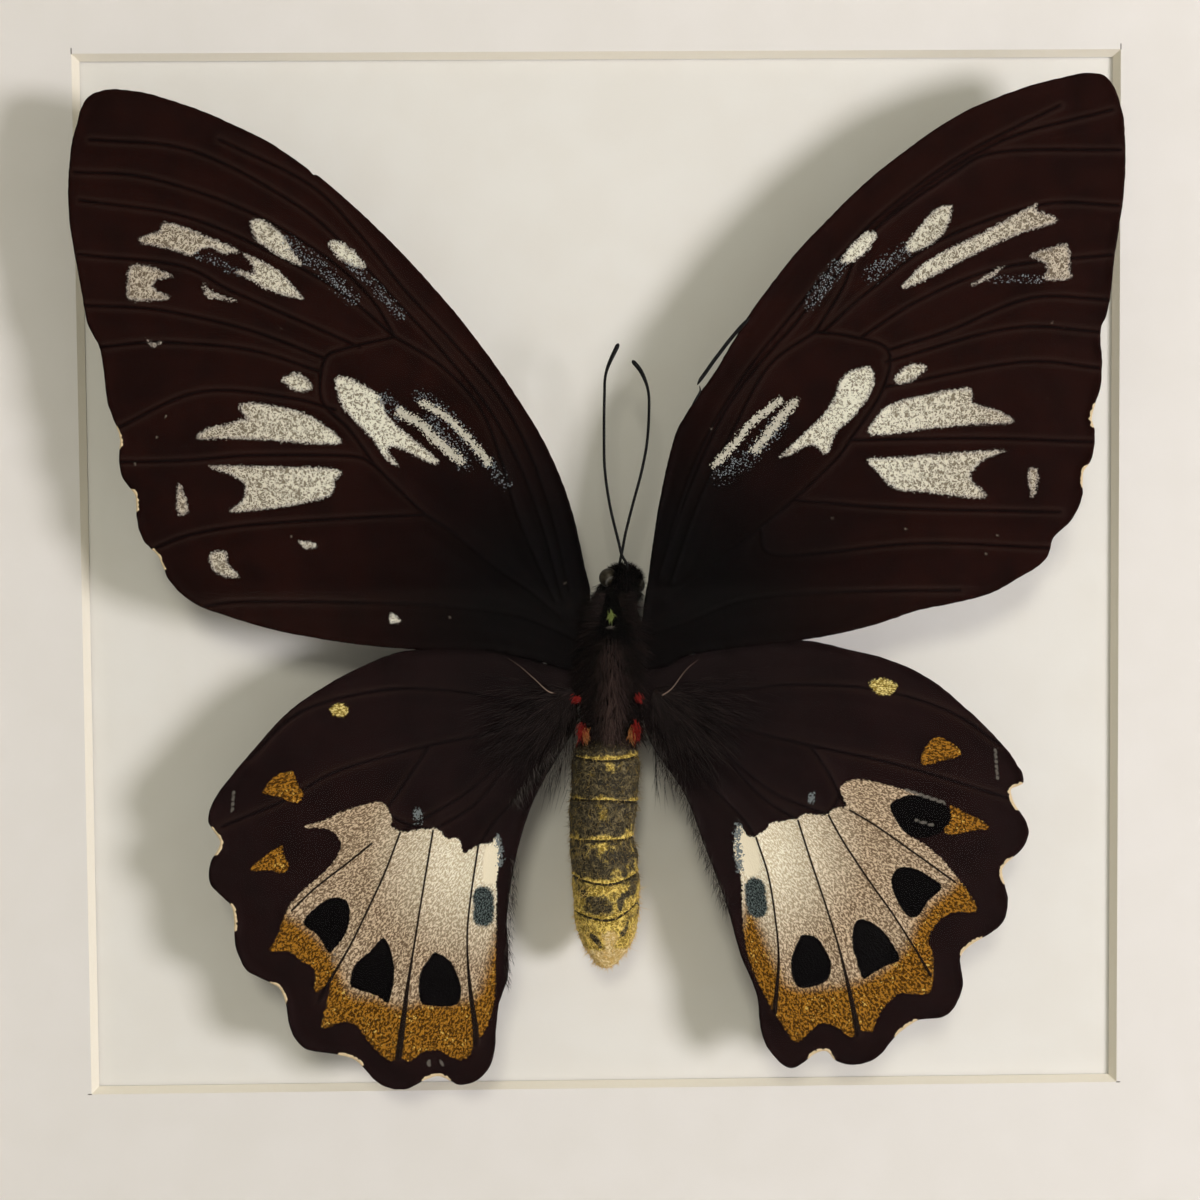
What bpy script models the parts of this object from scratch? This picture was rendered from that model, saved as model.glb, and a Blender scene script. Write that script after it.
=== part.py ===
"""A large female birdwing butterfly, mounted head up in a square shadow box.

The box stands upright on its bottom rail, its front faces -Y and its origin is under
its middle. The specimen is placed from the middle of the mat's window, on the front
face of the mat: x to the right, z up and y away from the viewer.
"""

import math

import bmesh
import bpy
from mathutils import Matrix, Vector

MM = 0.001
GAP = 0.3 * MM  # clearance between pieces that touch
SLACK = 0.01 * MM  # closeness at which two places count as one

# Moulding
OUTER = 278 * MM
RAIL_FACE = 20 * MM
RAIL_DEPTH = 40 * MM
REBATE = 6 * MM
LIP = 4 * MM
RAIL_BEVEL = 0.8 * MM

# What lies in the rebate, front to back
SHEET = 249 * MM
GLASS = 2 * MM
SPACER_DEPTH = 20 * MM
SPACER_WIDTH = 5 * MM
MAT = 1.2 * MM
MOUNT_BOARD = 3 * MM
BACKING = 3 * MM

# The mat's window, wider at the front by its 45 degree cut
WINDOW = 150 * MM
WINDOW_CUT = 0.9 * MM

# Flexible points that hold the backing
POINT_LENGTH = 15 * MM
POINT_WIDTH = 6 * MM
POINT_THICK = 0.4 * MM
POINT_IN_RAIL = 6 * MM
POINT_OFFSET = 62 * MM

# Sawtooth hanger and its nails
HANGER_LENGTH = 45 * MM
HANGER_HEIGHT = 10 * MM
HANGER_THICK = 0.8 * MM
HANGER_RISE = 1.5 * MM
HANGER_FLAT = 13 * MM  # half length of the raised, toothed stretch
HANGER_RAMP = 16 * MM  # where the strip lies on the rail again
NAIL_OFFSET = 19 * MM
NAIL_RADIUS = 0.7 * MM
NAIL_HEAD_RADIUS = 1.6 * MM
NAIL_HEAD = 0.6 * MM
NAIL_LENGTH = 11 * MM

# Specimen, from the window's middle
BODY_X = 1.1 * MM
WING_X = 1.3 * MM
WING_THICK = 0.5 * MM
WING_RISE = math.radians(2)
FOREWING_Y = -11 * MM
HINDWING_Y = -10 * MM
ANTENNA_RADIUS = 0.22 * MM

HALF = OUTER / 2
REBATE_HALF = HALF - RAIL_FACE + REBATE
PROUD = GAP + HANGER_THICK + HANGER_RISE
FRONT = -(RAIL_DEPTH + PROUD) / 2
BACK = FRONT + RAIL_DEPTH
GLASS_Y = FRONT + LIP + GAP
SPACER_Y = GLASS_Y + GLASS + GAP
MAT_Y = SPACER_Y + SPACER_DEPTH + GAP
MOUNT_Y = MAT_Y + MAT + GAP
BACKING_Y = MOUNT_Y + MOUNT_BOARD + GAP
POINT_Y = BACKING_Y + BACKING + GAP
HANGER_Z = HALF + REBATE_HALF + (HALF - REBATE_HALF) / 2

# Wing outlines in mm, from the body: leading edge, tip, scalloped outer margin, inner margin
LEFT_FOREWING = [
    (-2.2, -4.6), (-1.9, -1.5), (-2.6, 1.6), (-4.3, 9.4), (-7.6, 18.1), (-11.6, 25.0),
    (-16.3, 31.9), (-22.9, 40.2), (-33.7, 51.4), (-41.3, 57.8), (-49.4, 62.4),
    (-60.2, 66.6), (-65.6, 67.6), (-68.3, 67.4), (-70.3, 66.2), (-71.5, 63.1),
    (-72.4, 59.8), (-72.9, 51.3), (-72.0, 43.8), (-71.3, 39.7), (-70.6, 35.6),
    (-69.0, 32.3), (-68.2, 25.3), (-67.2, 22.2), (-66.5, 19.8), (-66.7, 18.2),
    (-66.3, 14.6), (-64.6, 12.2), (-64.5, 9.5), (-63.6, 6.0), (-61.6, 3.8),
    (-60.3, 0.7), (-57.1, -2.6), (-53.2, -4.3), (-42.3, -7.4), (-25.7, -9.6),
    (-15.9, -9.9), (-7.9, -11.8), (-3.7, -12.4),
]
RIGHT_FOREWING = [
    (5.3, -6.1), (6.2, -0.2), (7.2, 6.8), (8.5, 13.8), (10.4, 20.7), (13.2, 27.1),
    (16.8, 32.1), (20.6, 36.8), (26.2, 44.1), (31.7, 49.9), (37.2, 55.1), (42.8, 59.4),
    (48.3, 63.1), (53.8, 65.7), (64.7, 68.9), (68.4, 69.2), (69.8, 68.6), (71.3, 66.0),
    (72.3, 60.8), (72.2, 53.2), (71.7, 49.1), (70.9, 43.9), (69.9, 36.1), (69.1, 34.3),
    (69.3, 29.9), (69.0, 25.8), (67.9, 22.0), (68.3, 20.2), (67.8, 16.1), (66.7, 14.3),
    (66.6, 11.2), (64.9, 7.5), (62.6, 5.3), (61.7, 2.5), (58.0, -0.1), (53.2, -2.6),
    (44.1, -4.6), (37.2, -6.8), (27.8, -8.7), (12.0, -10.7), (5.7, -12.5),
]
LEFT_HINDWING = [
    (-3.7, -13.1), (-7.9, -11.9), (-16.0, -9.8), (-27.8, -9.8), (-34.1, -12.0),
    (-39.7, -15.0), (-44.6, -18.5), (-48.4, -22.6), (-52.7, -27.6), (-54.9, -30.8),
    (-55.5, -33.5), (-53.9, -36.3), (-55.3, -39.1), (-55.3, -42.3), (-52.4, -45.5),
    (-52.1, -50.6), (-50.2, -54.7), (-46.3, -56.8), (-45.1, -59.4), (-44.7, -62.4),
    (-42.8, -65.5), (-39.7, -66.4), (-35.5, -67.5), (-32.5, -70.7), (-28.6, -71.8),
    (-25.9, -70.6), (-23.6, -70.1), (-20.7, -71.4), (-16.8, -69.1), (-15.7, -63.7),
    (-15.2, -59.8), (-13.9, -55.8), (-14.0, -48.7), (-13.0, -40.9), (-10.7, -32.7),
    (-8.3, -27.7), (-5.3, -22.9), (-3.9, -20.1), (-3.8, -17.0),
]
RIGHT_HINDWING = [
    (5.7, -13.2), (12.1, -10.8), (19.1, -9.4), (27.9, -8.8), (34.5, -10.2),
    (40.1, -11.7), (45.7, -14.4), (49.9, -17.8), (55.5, -23.3), (57.8, -26.4),
    (58.7, -29.0), (57.0, -30.1), (58.8, -33.9), (59.5, -36.2), (58.3, -38.7),
    (55.9, -41.1), (55.9, -42.3), (56.6, -45.7), (55.8, -48.9), (53.4, -50.8),
    (50.0, -53.5), (50.3, -57.0), (49.5, -60.2), (47.4, -62.3), (44.0, -62.7),
    (40.3, -65.6), (38.3, -67.9), (35.5, -69.0), (32.3, -68.4), (31.0, -67.1),
    (29.0, -67.7), (26.3, -69.5), (23.8, -68.0), (21.8, -64.1), (21.3, -59.2),
    (19.0, -53.4), (17.1, -46.4), (13.9, -37.7), (11.3, -30.6), (8.5, -26.3),
    (6.4, -23.0), (5.6, -20.2), (5.3, -17.1),
]

# Antennae in mm, base to club: they cross just above the head
LEFT_ANTENNA = [
    (3.3, -9.9, 2.0), (2.6, -9.9, 3.3), (2.2, -10.0, 5.0), (1.0, -10.4, 10.1),
    (0.3, -11.0, 15.1), (0.2, -11.4, 19.7), (0.3, -11.7, 25.5), (0.6, -11.9, 28.9),
    (2.3, -12.0, 32.7),
]
RIGHT_ANTENNA = [
    (2.3, -8.9, 2.0), (2.7, -8.9, 3.9), (3.2, -9.1, 6.5), (4.2, -9.5, 10.4),
    (5.4, -10.0, 14.8), (6.2, -10.4, 18.9), (6.5, -10.8, 23.1), (6.4, -11.0, 26.2),
    (5.5, -11.2, 28.7), (4.2, -11.3, 30.4),
]

# Folded legs in mm, out from the middle of the thorax, hip to foot, tucked behind the wings
LEGS = {
    "fore": [(3.6, -4.2, -7.0), (7.5, -2.0, -6.0), (10.5, -0.8, -1.5), (13.0, 0.4, 4.0)],
    "mid": [(3.8, -4.0, -11.0), (9.0, -1.8, -13.0), (14.0, -0.4, -10.5), (18.0, 0.4, -6.0)],
    "hind": [(3.8, -4.0, -16.0), (9.5, -1.6, -19.5), (15.0, -0.4, -21.0), (21.0, 0.4, -24.0)],
}
LEG_TAPER = (1.1, 1.0, 0.7, 0.4)
LEG_RADIUS = 0.4 * MM

# Under the face: a coiled proboscis between two palps, whose points are y and z in mm
COIL_Y = -2.9 * MM
COIL_Z = 0.6 * MM
COIL_INNER = 0.4 * MM
COIL_PITCH = 0.72 * MM
PROBOSCIS_RADIUS = 0.18 * MM
PALP = [(-5.0, -0.4), (-4.8, 0.2), (-4.6, 0.8), (-4.5, 1.2)]
PALP_TAPER = (0.6, 1.0, 0.8, 0.3)
PALP_RADIUS = 0.5 * MM
PALP_OFFSET = 1.1 * MM

# Thorax and abdomen in mm: height and half width, head end to tail end
THORAX = [
    (-3.4, 1.4), (-4.5, 2.6), (-7.0, 3.4), (-11.0, 3.7),
    (-15.0, 3.7), (-19.0, 3.5), (-22.0, 2.6), (-23.2, 1.6),
]
THORAX_DEEPER = 1.45
THORAX_Y = -7.4 * MM
ABDOMEN_TOP = -23.6
ABDOMEN_TIP = -55.4
ABDOMEN_WIDTHS = (2.9, 4.4, 4.6, 4.7, 4.7, 4.6, 4.3, 3.6)  # widest half width of each ring
ABDOMEN_CREASE = 0.35
ABDOMEN_DEEPER = 0.95
ABDOMEN_Y = -7.6 * MM
ABDOMEN_X = 0.2 * MM

HEAD = Vector((2.8, -8.0, -0.8)) * MM
HEAD_SIZE = (2.6, 2.6, 2.2)
EYE_RADIUS = 1.5 * MM
EYES = (Vector((0.6, -8.6, 0.2)) * MM, Vector((5.1, -8.6, -0.9)) * MM)


def clear_scene():
    for old in list(bpy.data.objects):
        bpy.data.objects.remove(old, do_unlink=True)


def new_collection(name):
    made = bpy.data.collections.new(name)
    bpy.context.scene.collection.children.link(made)
    return made


def new_material(name, colour, roughness, metallic=0.0):
    made = bpy.data.materials.new(name)
    made.use_nodes = True
    shader = made.node_tree.nodes["Principled BSDF"]
    shader.inputs["Base Color"].default_value = (*colour, 1)
    shader.inputs["Roughness"].default_value = roughness
    shader.inputs["Metallic"].default_value = metallic
    return made


def add_object(name, data, material, parent=None):
    made = bpy.data.objects.new(name, data)
    PARTS.objects.link(made)
    made.parent = parent
    data.materials.clear()
    data.materials.append(material)
    return made


def add_cutter(name, data):
    made = bpy.data.objects.new(name, data)
    CUTTERS.objects.link(made)
    made.hide_render = True
    made.display_type = "WIRE"
    return made


def mesh_from(name, bm):
    bmesh.ops.recalc_face_normals(bm, faces=bm.faces)
    mesh = bpy.data.meshes.new(name)
    bm.to_mesh(mesh)
    bm.free()
    return mesh


def box_mesh(name, low, high):
    """A box between two corners."""
    low, high = Vector(low), Vector(high)
    bm = bmesh.new()
    bmesh.ops.create_cube(bm, size=1)
    bmesh.ops.scale(bm, vec=high - low, verts=bm.verts)
    bmesh.ops.translate(bm, vec=(low + high) / 2, verts=bm.verts)
    return mesh_from(name, bm)


def sheet_mesh(name, front, thick, side=SHEET):
    """A square sheet that stands in the middle of the frame."""
    half = side / 2
    return box_mesh(name, (-half, front, HALF - half), (half, front + thick, HALF + half))


def cut(target, cutter, operation="DIFFERENCE"):
    change = target.modifiers.new(cutter.name, "BOOLEAN")
    change.object = cutter
    change.operation = operation


def bevel(target, width, segments=2):
    change = target.modifiers.new("Edges", "BEVEL")
    change.width = width
    change.segments = segments
    change.limit_method = "ANGLE"


def shade_round(mesh):
    mesh.shade_smooth()
    mesh.set_sharp_from_angle(angle=math.radians(40))


def rail_mesh():
    """The bottom rail about the frame's centre: a rebated section, mitred at both ends."""
    inner = HALF - RAIL_FACE
    section = [
        (FRONT, inner), (FRONT, HALF), (BACK, HALF), (BACK, REBATE_HALF),
        (FRONT + LIP, REBATE_HALF), (FRONT + LIP, inner),
    ]
    bm = bmesh.new()
    face = bm.faces.new([bm.verts.new((-HALF, y, -r)) for y, r in section])
    swept = bmesh.ops.extrude_face_region(bm, geom=[face])["geom"]
    moved = [item for item in swept if isinstance(item, bmesh.types.BMVert)]
    bmesh.ops.translate(bm, vec=(OUTER, 0, 0), verts=moved)
    for side in (-1, 1):
        normal = Vector((side, 0, 1)).normalized()
        everything = bm.verts[:] + bm.edges[:] + bm.faces[:]
        opened = bmesh.ops.bisect_plane(
            bm, geom=everything, plane_co=-normal * GAP / 2, plane_no=normal, clear_outer=True
        )["geom_cut"]
        rim = [item for item in opened if isinstance(item, bmesh.types.BMEdge)]
        bmesh.ops.contextual_create(bm, geom=rim)
    return mesh_from("rail", bm)


def flat_curve(name, outlines, thick, form="POLY"):
    """A flat plate cut to an outline, with any further outlines as holes."""
    data = bpy.data.curves.new(name, "CURVE")
    data.dimensions = "2D"
    data.fill_mode = "BOTH"
    data.extrude = thick / 2
    data.resolution_u = 2
    for outline in outlines:
        spline = data.splines.new(form)
        points = spline.bezier_points if form == "BEZIER" else spline.points
        points.add(len(outline) - 1)
        for point, (x, y) in zip(points, outline):
            if form == "BEZIER":
                point.co = (x, y, 0)
                point.handle_left_type = "AUTO"
                point.handle_right_type = "AUTO"
            else:
                point.co = (x, y, 0, 1)
        spline.use_cyclic_u = True
    return data


def tube_curve(name, path, radius, form="POLY", widths=None, sides=2):
    """A round rod along a path; widths scale its radius point by point."""
    data = bpy.data.curves.new(name, "CURVE")
    data.dimensions = "3D"
    data.bevel_depth = radius
    data.bevel_resolution = sides
    data.use_fill_caps = True
    data.resolution_u = 3
    spline = data.splines.new(form)
    points = spline.bezier_points if form == "BEZIER" else spline.points
    points.add(len(path) - 1)
    for index, (point, place) in enumerate(zip(points, path)):
        if form == "BEZIER":
            point.co = place
            point.handle_left_type = "AUTO"
            point.handle_right_type = "AUTO"
        else:
            point.co = (*place, 1)
        point.radius = widths[index] if widths else 1
    return data


def ball_mesh(name, size, segments=16, rings=10):
    bm = bmesh.new()
    bmesh.ops.create_uvsphere(bm, u_segments=segments, v_segments=rings, radius=1)
    bmesh.ops.scale(bm, vec=size, verts=bm.verts)
    return mesh_from(name, bm)


def to_mesh_object(curve_object):
    """Turns a curve object into a welded mesh object of the same name and place."""
    bpy.context.view_layer.update()
    graph = bpy.context.evaluated_depsgraph_get()
    mesh = bpy.data.meshes.new_from_object(curve_object.evaluated_get(graph))
    bm = bmesh.new()
    bm.from_mesh(mesh)
    bmesh.ops.remove_doubles(bm, verts=bm.verts, dist=0.005 * MM)
    bmesh.ops.recalc_face_normals(bm, faces=bm.faces)
    bm.to_mesh(mesh)
    bm.free()
    name, place = curve_object.name, curve_object.matrix_world.copy()
    bpy.data.objects.remove(curve_object, do_unlink=True)
    made = bpy.data.objects.new(name, mesh)
    PARTS.objects.link(made)
    made.matrix_world = place
    return made


def build_rails():
    """Four rails round the frame's centre, each slotted for two flexible points."""
    slot = box_mesh(
        "point_slot",
        (-POINT_WIDTH / 2 - GAP, POINT_Y - GAP, -REBATE_HALF - POINT_IN_RAIL - GAP),
        (POINT_WIDTH / 2 + GAP, POINT_Y + POINT_THICK + GAP, -REBATE_HALF + 1 * MM),
    )
    rails = {}
    for quarter, side in enumerate(("bottom", "left", "top", "right")):
        rail = add_object(f"rail_{side}", rail_mesh(), STAINED_WOOD)
        rail.location = (0, 0, HALF)
        rail.rotation_euler = (0, quarter * math.pi / 2, 0)
        bevel(rail, RAIL_BEVEL)
        for place, offset in enumerate((-POINT_OFFSET, POINT_OFFSET)):
            cutter = add_cutter(f"slot_{side}_{place + 1}", slot)
            cutter.rotation_euler = rail.rotation_euler
            cutter.location = rail.location + rail.rotation_euler.to_matrix() @ Vector((offset, 0, 0))
            cut(rail, cutter)
        rails[side] = rail
    return rails


def build_sheets():
    """Glass, spacers, mat, mount board and backing, front to back."""
    add_object("glass", sheet_mesh("glass", GLASS_Y, GLASS), CLEAR_GLASS)
    half = SHEET / 2
    inner = half - SPACER_WIDTH
    front, back = SPACER_Y, SPACER_Y + SPACER_DEPTH
    short = inner - GAP
    spacers = {
        "top": ((-half, inner), (half, half)),
        "bottom": ((-half, -half), (half, -inner)),
        "left": ((-half, -short), (-inner, short)),
        "right": ((inner, -short), (half, short)),
    }
    for side, (low, high) in spacers.items():
        mesh = box_mesh(f"spacer_{side}", (low[0], front, low[1] + HALF), (high[0], back, high[1] + HALF))
        add_object(f"spacer_{side}", mesh, WHITE_CARD)
    mat = add_object("mat", sheet_mesh("mat", MAT_Y, MAT), WHITE_CARD)
    cut(mat, window_cutter())
    add_object("mount_board", sheet_mesh("mount_board", MOUNT_Y, MOUNT_BOARD), WHITE_CARD)
    add_object("backing_board", sheet_mesh("backing_board", BACKING_Y, BACKING), HARDBOARD)


def window_cutter():
    """A square taper through the mat, which gives its window a sloping edge."""
    past = 1 * MM
    slope = WINDOW_CUT / MAT
    front_half = WINDOW / 2 + slope * past
    back_half = WINDOW / 2 - slope * (MAT + past)
    bm = bmesh.new()
    turn = Matrix.Rotation(math.pi / 4, 4, "Z")
    bmesh.ops.create_cone(
        bm, segments=4, radius1=front_half * math.sqrt(2), radius2=back_half * math.sqrt(2),
        depth=MAT + 2 * past, cap_ends=True, matrix=turn,
    )
    cutter = add_cutter("window_cut", mesh_from("window_cut", bm))
    cutter.rotation_euler = (-math.pi / 2, 0, 0)
    cutter.location = (0, MAT_Y + MAT / 2, HALF)
    return cutter


def build_points():
    """Thin steel points driven into the rebate behind the backing."""
    half = POINT_WIDTH / 2
    tail = POINT_LENGTH - POINT_IN_RAIL
    outline = [
        (-half, -POINT_IN_RAIL / 2), (0, -POINT_IN_RAIL), (half, -POINT_IN_RAIL / 2),
        (half, tail - half), (half / 2, tail), (-half / 2, tail), (-half, tail - half),
    ]
    shape = flat_curve("flex_point", [outline], POINT_THICK)
    count = 0
    for quarter in range(4):
        turn = Matrix.Rotation(quarter * math.pi / 2, 3, "Y")
        for offset in (-POINT_OFFSET, POINT_OFFSET):
            count += 1
            point = add_object(f"flex_point_{count}", shape, STEEL)
            lie = Matrix.Rotation(math.pi / 2, 3, "X")
            point.rotation_euler = (turn @ lie).to_euler()
            place = turn @ Vector((offset, 0, -REBATE_HALF))
            point.location = place + Vector((0, POINT_Y + POINT_THICK / 2, HALF))


def hanger_outline():
    """The strip's edge: plain on top, sawteeth along the middle of its lower side."""
    half, low, high = HANGER_LENGTH / 2, -HANGER_HEIGHT / 2, HANGER_HEIGHT / 2
    teeth, reach, depth = 9, 12 * MM, 1.5 * MM
    outline = [(half, low), (half, high), (-half, high), (-half, low)]
    step = 2 * reach / teeth
    for tooth in range(teeth):
        start = -reach + tooth * step
        outline += [(start, low), (start + step / 2, low + depth)]
    return outline + [(reach, low)]


def ring(centre, radius, count=12):
    turns = [2 * math.pi * step / count for step in range(count)]
    return [(centre + radius * math.cos(a), radius * math.sin(a)) for a in turns]


def build_hanger(top_rail):
    """A bent sawtooth strip across the top rail's back, held by two nails in pilot holes."""
    holes = [ring(side * NAIL_OFFSET, NAIL_RADIUS + GAP) for side in (-1, 1)]
    strip = flat_curve("hanger_strip", [hanger_outline(), *holes], HANGER_THICK)
    hanger = add_object("sawtooth_hanger", strip, STEEL)
    hanger.rotation_euler = (math.pi / 2, 0, 0)
    hanger.location = (0, BACK + GAP + HANGER_THICK / 2, HANGER_Z)
    hanger = to_mesh_object(hanger)
    raise_middle(hanger.data)
    hanger.data.materials.clear()
    hanger.data.materials.append(STEEL)
    for number, side in enumerate((-1, 1)):
        name = ("left", "right")[number]
        build_nail(f"hanger_nail_{name}", side * NAIL_OFFSET, top_rail)


def raise_middle(mesh):
    """Bends the strip so that its toothed middle stands off the rail; local z is -Y."""
    bm = bmesh.new()
    bm.from_mesh(mesh)
    for place in (-HANGER_RAMP, -HANGER_FLAT, HANGER_FLAT, HANGER_RAMP):
        everything = bm.verts[:] + bm.edges[:] + bm.faces[:]
        bmesh.ops.bisect_plane(bm, geom=everything, plane_co=(place, 0, 0), plane_no=(1, 0, 0))
    middle = [vert for vert in bm.verts if abs(vert.co.x) < HANGER_FLAT + SLACK]
    bmesh.ops.translate(bm, vec=(0, 0, -HANGER_RISE), verts=middle)
    bm.to_mesh(mesh)
    bm.free()


def build_nail(name, x, rail):
    """A round-headed nail, turned from its profile, and the pilot hole it sits in."""
    head = HANGER_THICK + GAP
    profile = [
        (0, head + NAIL_HEAD), (NAIL_HEAD_RADIUS * 0.7, head + NAIL_HEAD), (NAIL_HEAD_RADIUS, head + GAP),
        (NAIL_RADIUS, head + GAP), (NAIL_RADIUS, 2 * NAIL_RADIUS - NAIL_LENGTH), (0, -NAIL_LENGTH),
    ]
    bm = bmesh.new()
    verts = [bm.verts.new((r, 0, z)) for r, z in profile]
    for first, second in zip(verts, verts[1:]):
        bm.edges.new((first, second))
    mesh = bpy.data.meshes.new(name)
    bm.to_mesh(mesh)
    bm.free()
    nail = add_object(name, mesh, STEEL)
    nail.location = (x, BACK + GAP, HANGER_Z)
    nail.rotation_euler = (-math.pi / 2, 0, 0)
    screw = nail.modifiers.new("Turn", "SCREW")
    screw.steps = 12
    screw.render_steps = 12
    screw.use_merge_vertices = True
    screw.merge_threshold = SLACK
    bm = bmesh.new()
    depth = NAIL_LENGTH + 2 * GAP
    hole_radius = NAIL_RADIUS + GAP
    bmesh.ops.create_cone(
        bm, segments=12, radius1=hole_radius, radius2=hole_radius, depth=2 * depth, cap_ends=True
    )
    hole = add_cutter(f"{name}_hole", mesh_from(f"{name}_hole", bm))
    hole.location = (x, BACK, HANGER_Z)
    hole.rotation_euler = (-math.pi / 2, 0, 0)
    cut(rail, hole)


def build_wings(middle):
    """Four flat wings that rise a little towards their tips."""
    wings = (
        ("forewing_left", LEFT_FOREWING, FOREWING_Y, WING_RISE, DARK_WING),
        ("forewing_right", RIGHT_FOREWING, FOREWING_Y, -WING_RISE, DARK_WING),
        ("hindwing_left", LEFT_HINDWING, HINDWING_Y, WING_RISE, HINDWING),
        ("hindwing_right", RIGHT_HINDWING, HINDWING_Y, -WING_RISE, HINDWING),
    )
    for name, outline, y, rise, material in wings:
        about_hinge = [(x * MM - WING_X, z * MM) for x, z in outline]
        shape = flat_curve(name, [about_hinge], WING_THICK, "BEZIER")
        wing = add_object(name, shape, material, middle)
        wing.location = (WING_X, y, 0)
        wing.rotation_euler = (math.pi / 2, 0, rise)


def build_body(middle):
    """Head with its eyes, thorax and ringed abdomen."""
    head = add_object("head", ball_mesh("head", [size * MM for size in HEAD_SIZE]), BLACK_FUR, middle)
    head.location = HEAD
    shade_round(head.data)
    for number, place in enumerate(EYES):
        eye = add_cutter(f"eye_{number + 1}", ball_mesh("eye", [EYE_RADIUS] * 3, 14, 8))
        eye.parent = middle
        eye.location = place
        cut(head, eye, "UNION")
    path = [(0, 0, z * MM) for z, _ in THORAX]
    thorax = tube_curve("thorax", path, 1 * MM, widths=[width for _, width in THORAX], sides=6)
    thorax = add_object("thorax", thorax, BLACK_FUR, middle)
    thorax.location = (BODY_X, THORAX_Y, 0)
    thorax.scale = (1, THORAX_DEEPER, 1)
    path, widths = abdomen_rings()
    abdomen = tube_curve("abdomen", path, 1 * MM, widths=widths, sides=6)
    abdomen = add_object("abdomen", abdomen, OLIVE_FUR, middle)
    abdomen.location = (ABDOMEN_X, ABDOMEN_Y, 0)
    abdomen.scale = (1, ABDOMEN_DEEPER, 1)


def abdomen_rings():
    """Each ring swells between two creases; the last closes to a blunt tip."""
    count = len(ABDOMEN_WIDTHS)
    step = (ABDOMEN_TIP - ABDOMEN_TOP) / count
    path, widths = [], []
    for number, width in enumerate(ABDOMEN_WIDTHS):
        top = ABDOMEN_TOP + number * step
        for share, narrower in ((0, ABDOMEN_CREASE), (0.3, 0), (0.75, 0)):
            path.append((0, 0, (top + share * step) * MM))
            widths.append(width - narrower)
    path.append((0, 0, ABDOMEN_TIP * MM))
    widths.append(1.4)
    return path, widths


def build_limbs(middle):
    """Antennae, folded legs, coiled proboscis and palps."""
    for name, path in (("antenna_left", LEFT_ANTENNA), ("antenna_right", RIGHT_ANTENNA)):
        places = [Vector(place) * MM for place in path]
        widths = [1.0] * (len(path) - 2) + [1.3, 1.1]
        shape = tube_curve(name, places, ANTENNA_RADIUS, "BEZIER", widths, sides=1)
        add_object(name, shape, BLACK_HORN, middle)
    for name, path in LEGS.items():
        for side, sign in (("left", -1), ("right", 1)):
            places = [(BODY_X + sign * x * MM, y * MM, z * MM) for x, y, z in path]
            shape = tube_curve(name, places, LEG_RADIUS, "BEZIER", LEG_TAPER, sides=1)
            add_object(f"leg_{name}_{side}", shape, BLACK_HORN, middle)
    add_object("proboscis", tube_curve("proboscis", coil(), PROBOSCIS_RADIUS, sides=1), BLACK_HORN, middle)
    for side, sign in (("left", -1), ("right", 1)):
        x = HEAD.x + sign * PALP_OFFSET
        places = [(x, y * MM, z * MM) for y, z in PALP]
        shape = tube_curve("palp", places, PALP_RADIUS, widths=PALP_TAPER, sides=2)
        add_object(f"palp_{side}", shape, BLACK_FUR, middle)


def coil(turns=2, steps=12):
    """A flat watch-spring coil under the face, in the plane between left and right."""
    places = []
    for step in range(turns * steps + 1):
        angle = 2 * math.pi * step / steps
        reach = COIL_INNER + COIL_PITCH * step / steps
        y = COIL_Y + reach * math.cos(angle)
        places.append((HEAD.x, y, COIL_Z + reach * math.sin(angle)))
    return places


def build_support(middle):
    """The block between the mount board and the thorax."""
    half, thick = 4 * MM, 3 * MM
    back = MAT
    mesh = box_mesh("support_block", (-half, back - thick, -half), (half, back, half))
    block = add_object("support_block", mesh, WHITE_CARD, middle)
    block.location = (BODY_X, 0, -12.8 * MM)


clear_scene()
PARTS = new_collection("framed_butterfly_specimen")
CUTTERS = new_collection("cutters")
STAINED_WOOD = new_material("stained_wood", (0.035, 0.028, 0.025), 0.45)
CLEAR_GLASS = new_material("clear_glass", (0.9, 0.95, 0.93), 0.05)
WHITE_CARD = new_material("white_card", (0.72, 0.69, 0.64), 0.9)
HARDBOARD = new_material("hardboard", (0.28, 0.17, 0.09), 0.8)
STEEL = new_material("steel", (0.55, 0.55, 0.56), 0.35, 1.0)
DARK_WING = new_material("dark_wing", (0.02, 0.012, 0.01), 0.7)
HINDWING = new_material("hindwing", (0.25, 0.18, 0.1), 0.7)
BLACK_FUR = new_material("black_fur", (0.01, 0.009, 0.009), 0.95)
OLIVE_FUR = new_material("olive_fur", (0.25, 0.2, 0.08), 0.9)
BLACK_HORN = new_material("black_horn", (0.01, 0.01, 0.01), 0.4)

MIDDLE = bpy.data.objects.new("window_middle", None)
PARTS.objects.link(MIDDLE)
MIDDLE.location = (0, MAT_Y, HALF)

RAILS = build_rails()
build_sheets()
build_points()
build_hanger(RAILS["top"])
build_support(MIDDLE)
build_body(MIDDLE)
build_wings(MIDDLE)
build_limbs(MIDDLE)
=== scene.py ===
"""Looks of a framed birdwing butterfly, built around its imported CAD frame.

Shapes are in mm from the middle of the mat's window, on the front face of the mat:
x to the right, y away from the viewer, z up. Objects are placed in metres.
"""

import math

import bpy
import numpy as np
from mathutils import Matrix, Vector, noise
from mathutils.geometry import delaunay_2d_cdt


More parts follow.
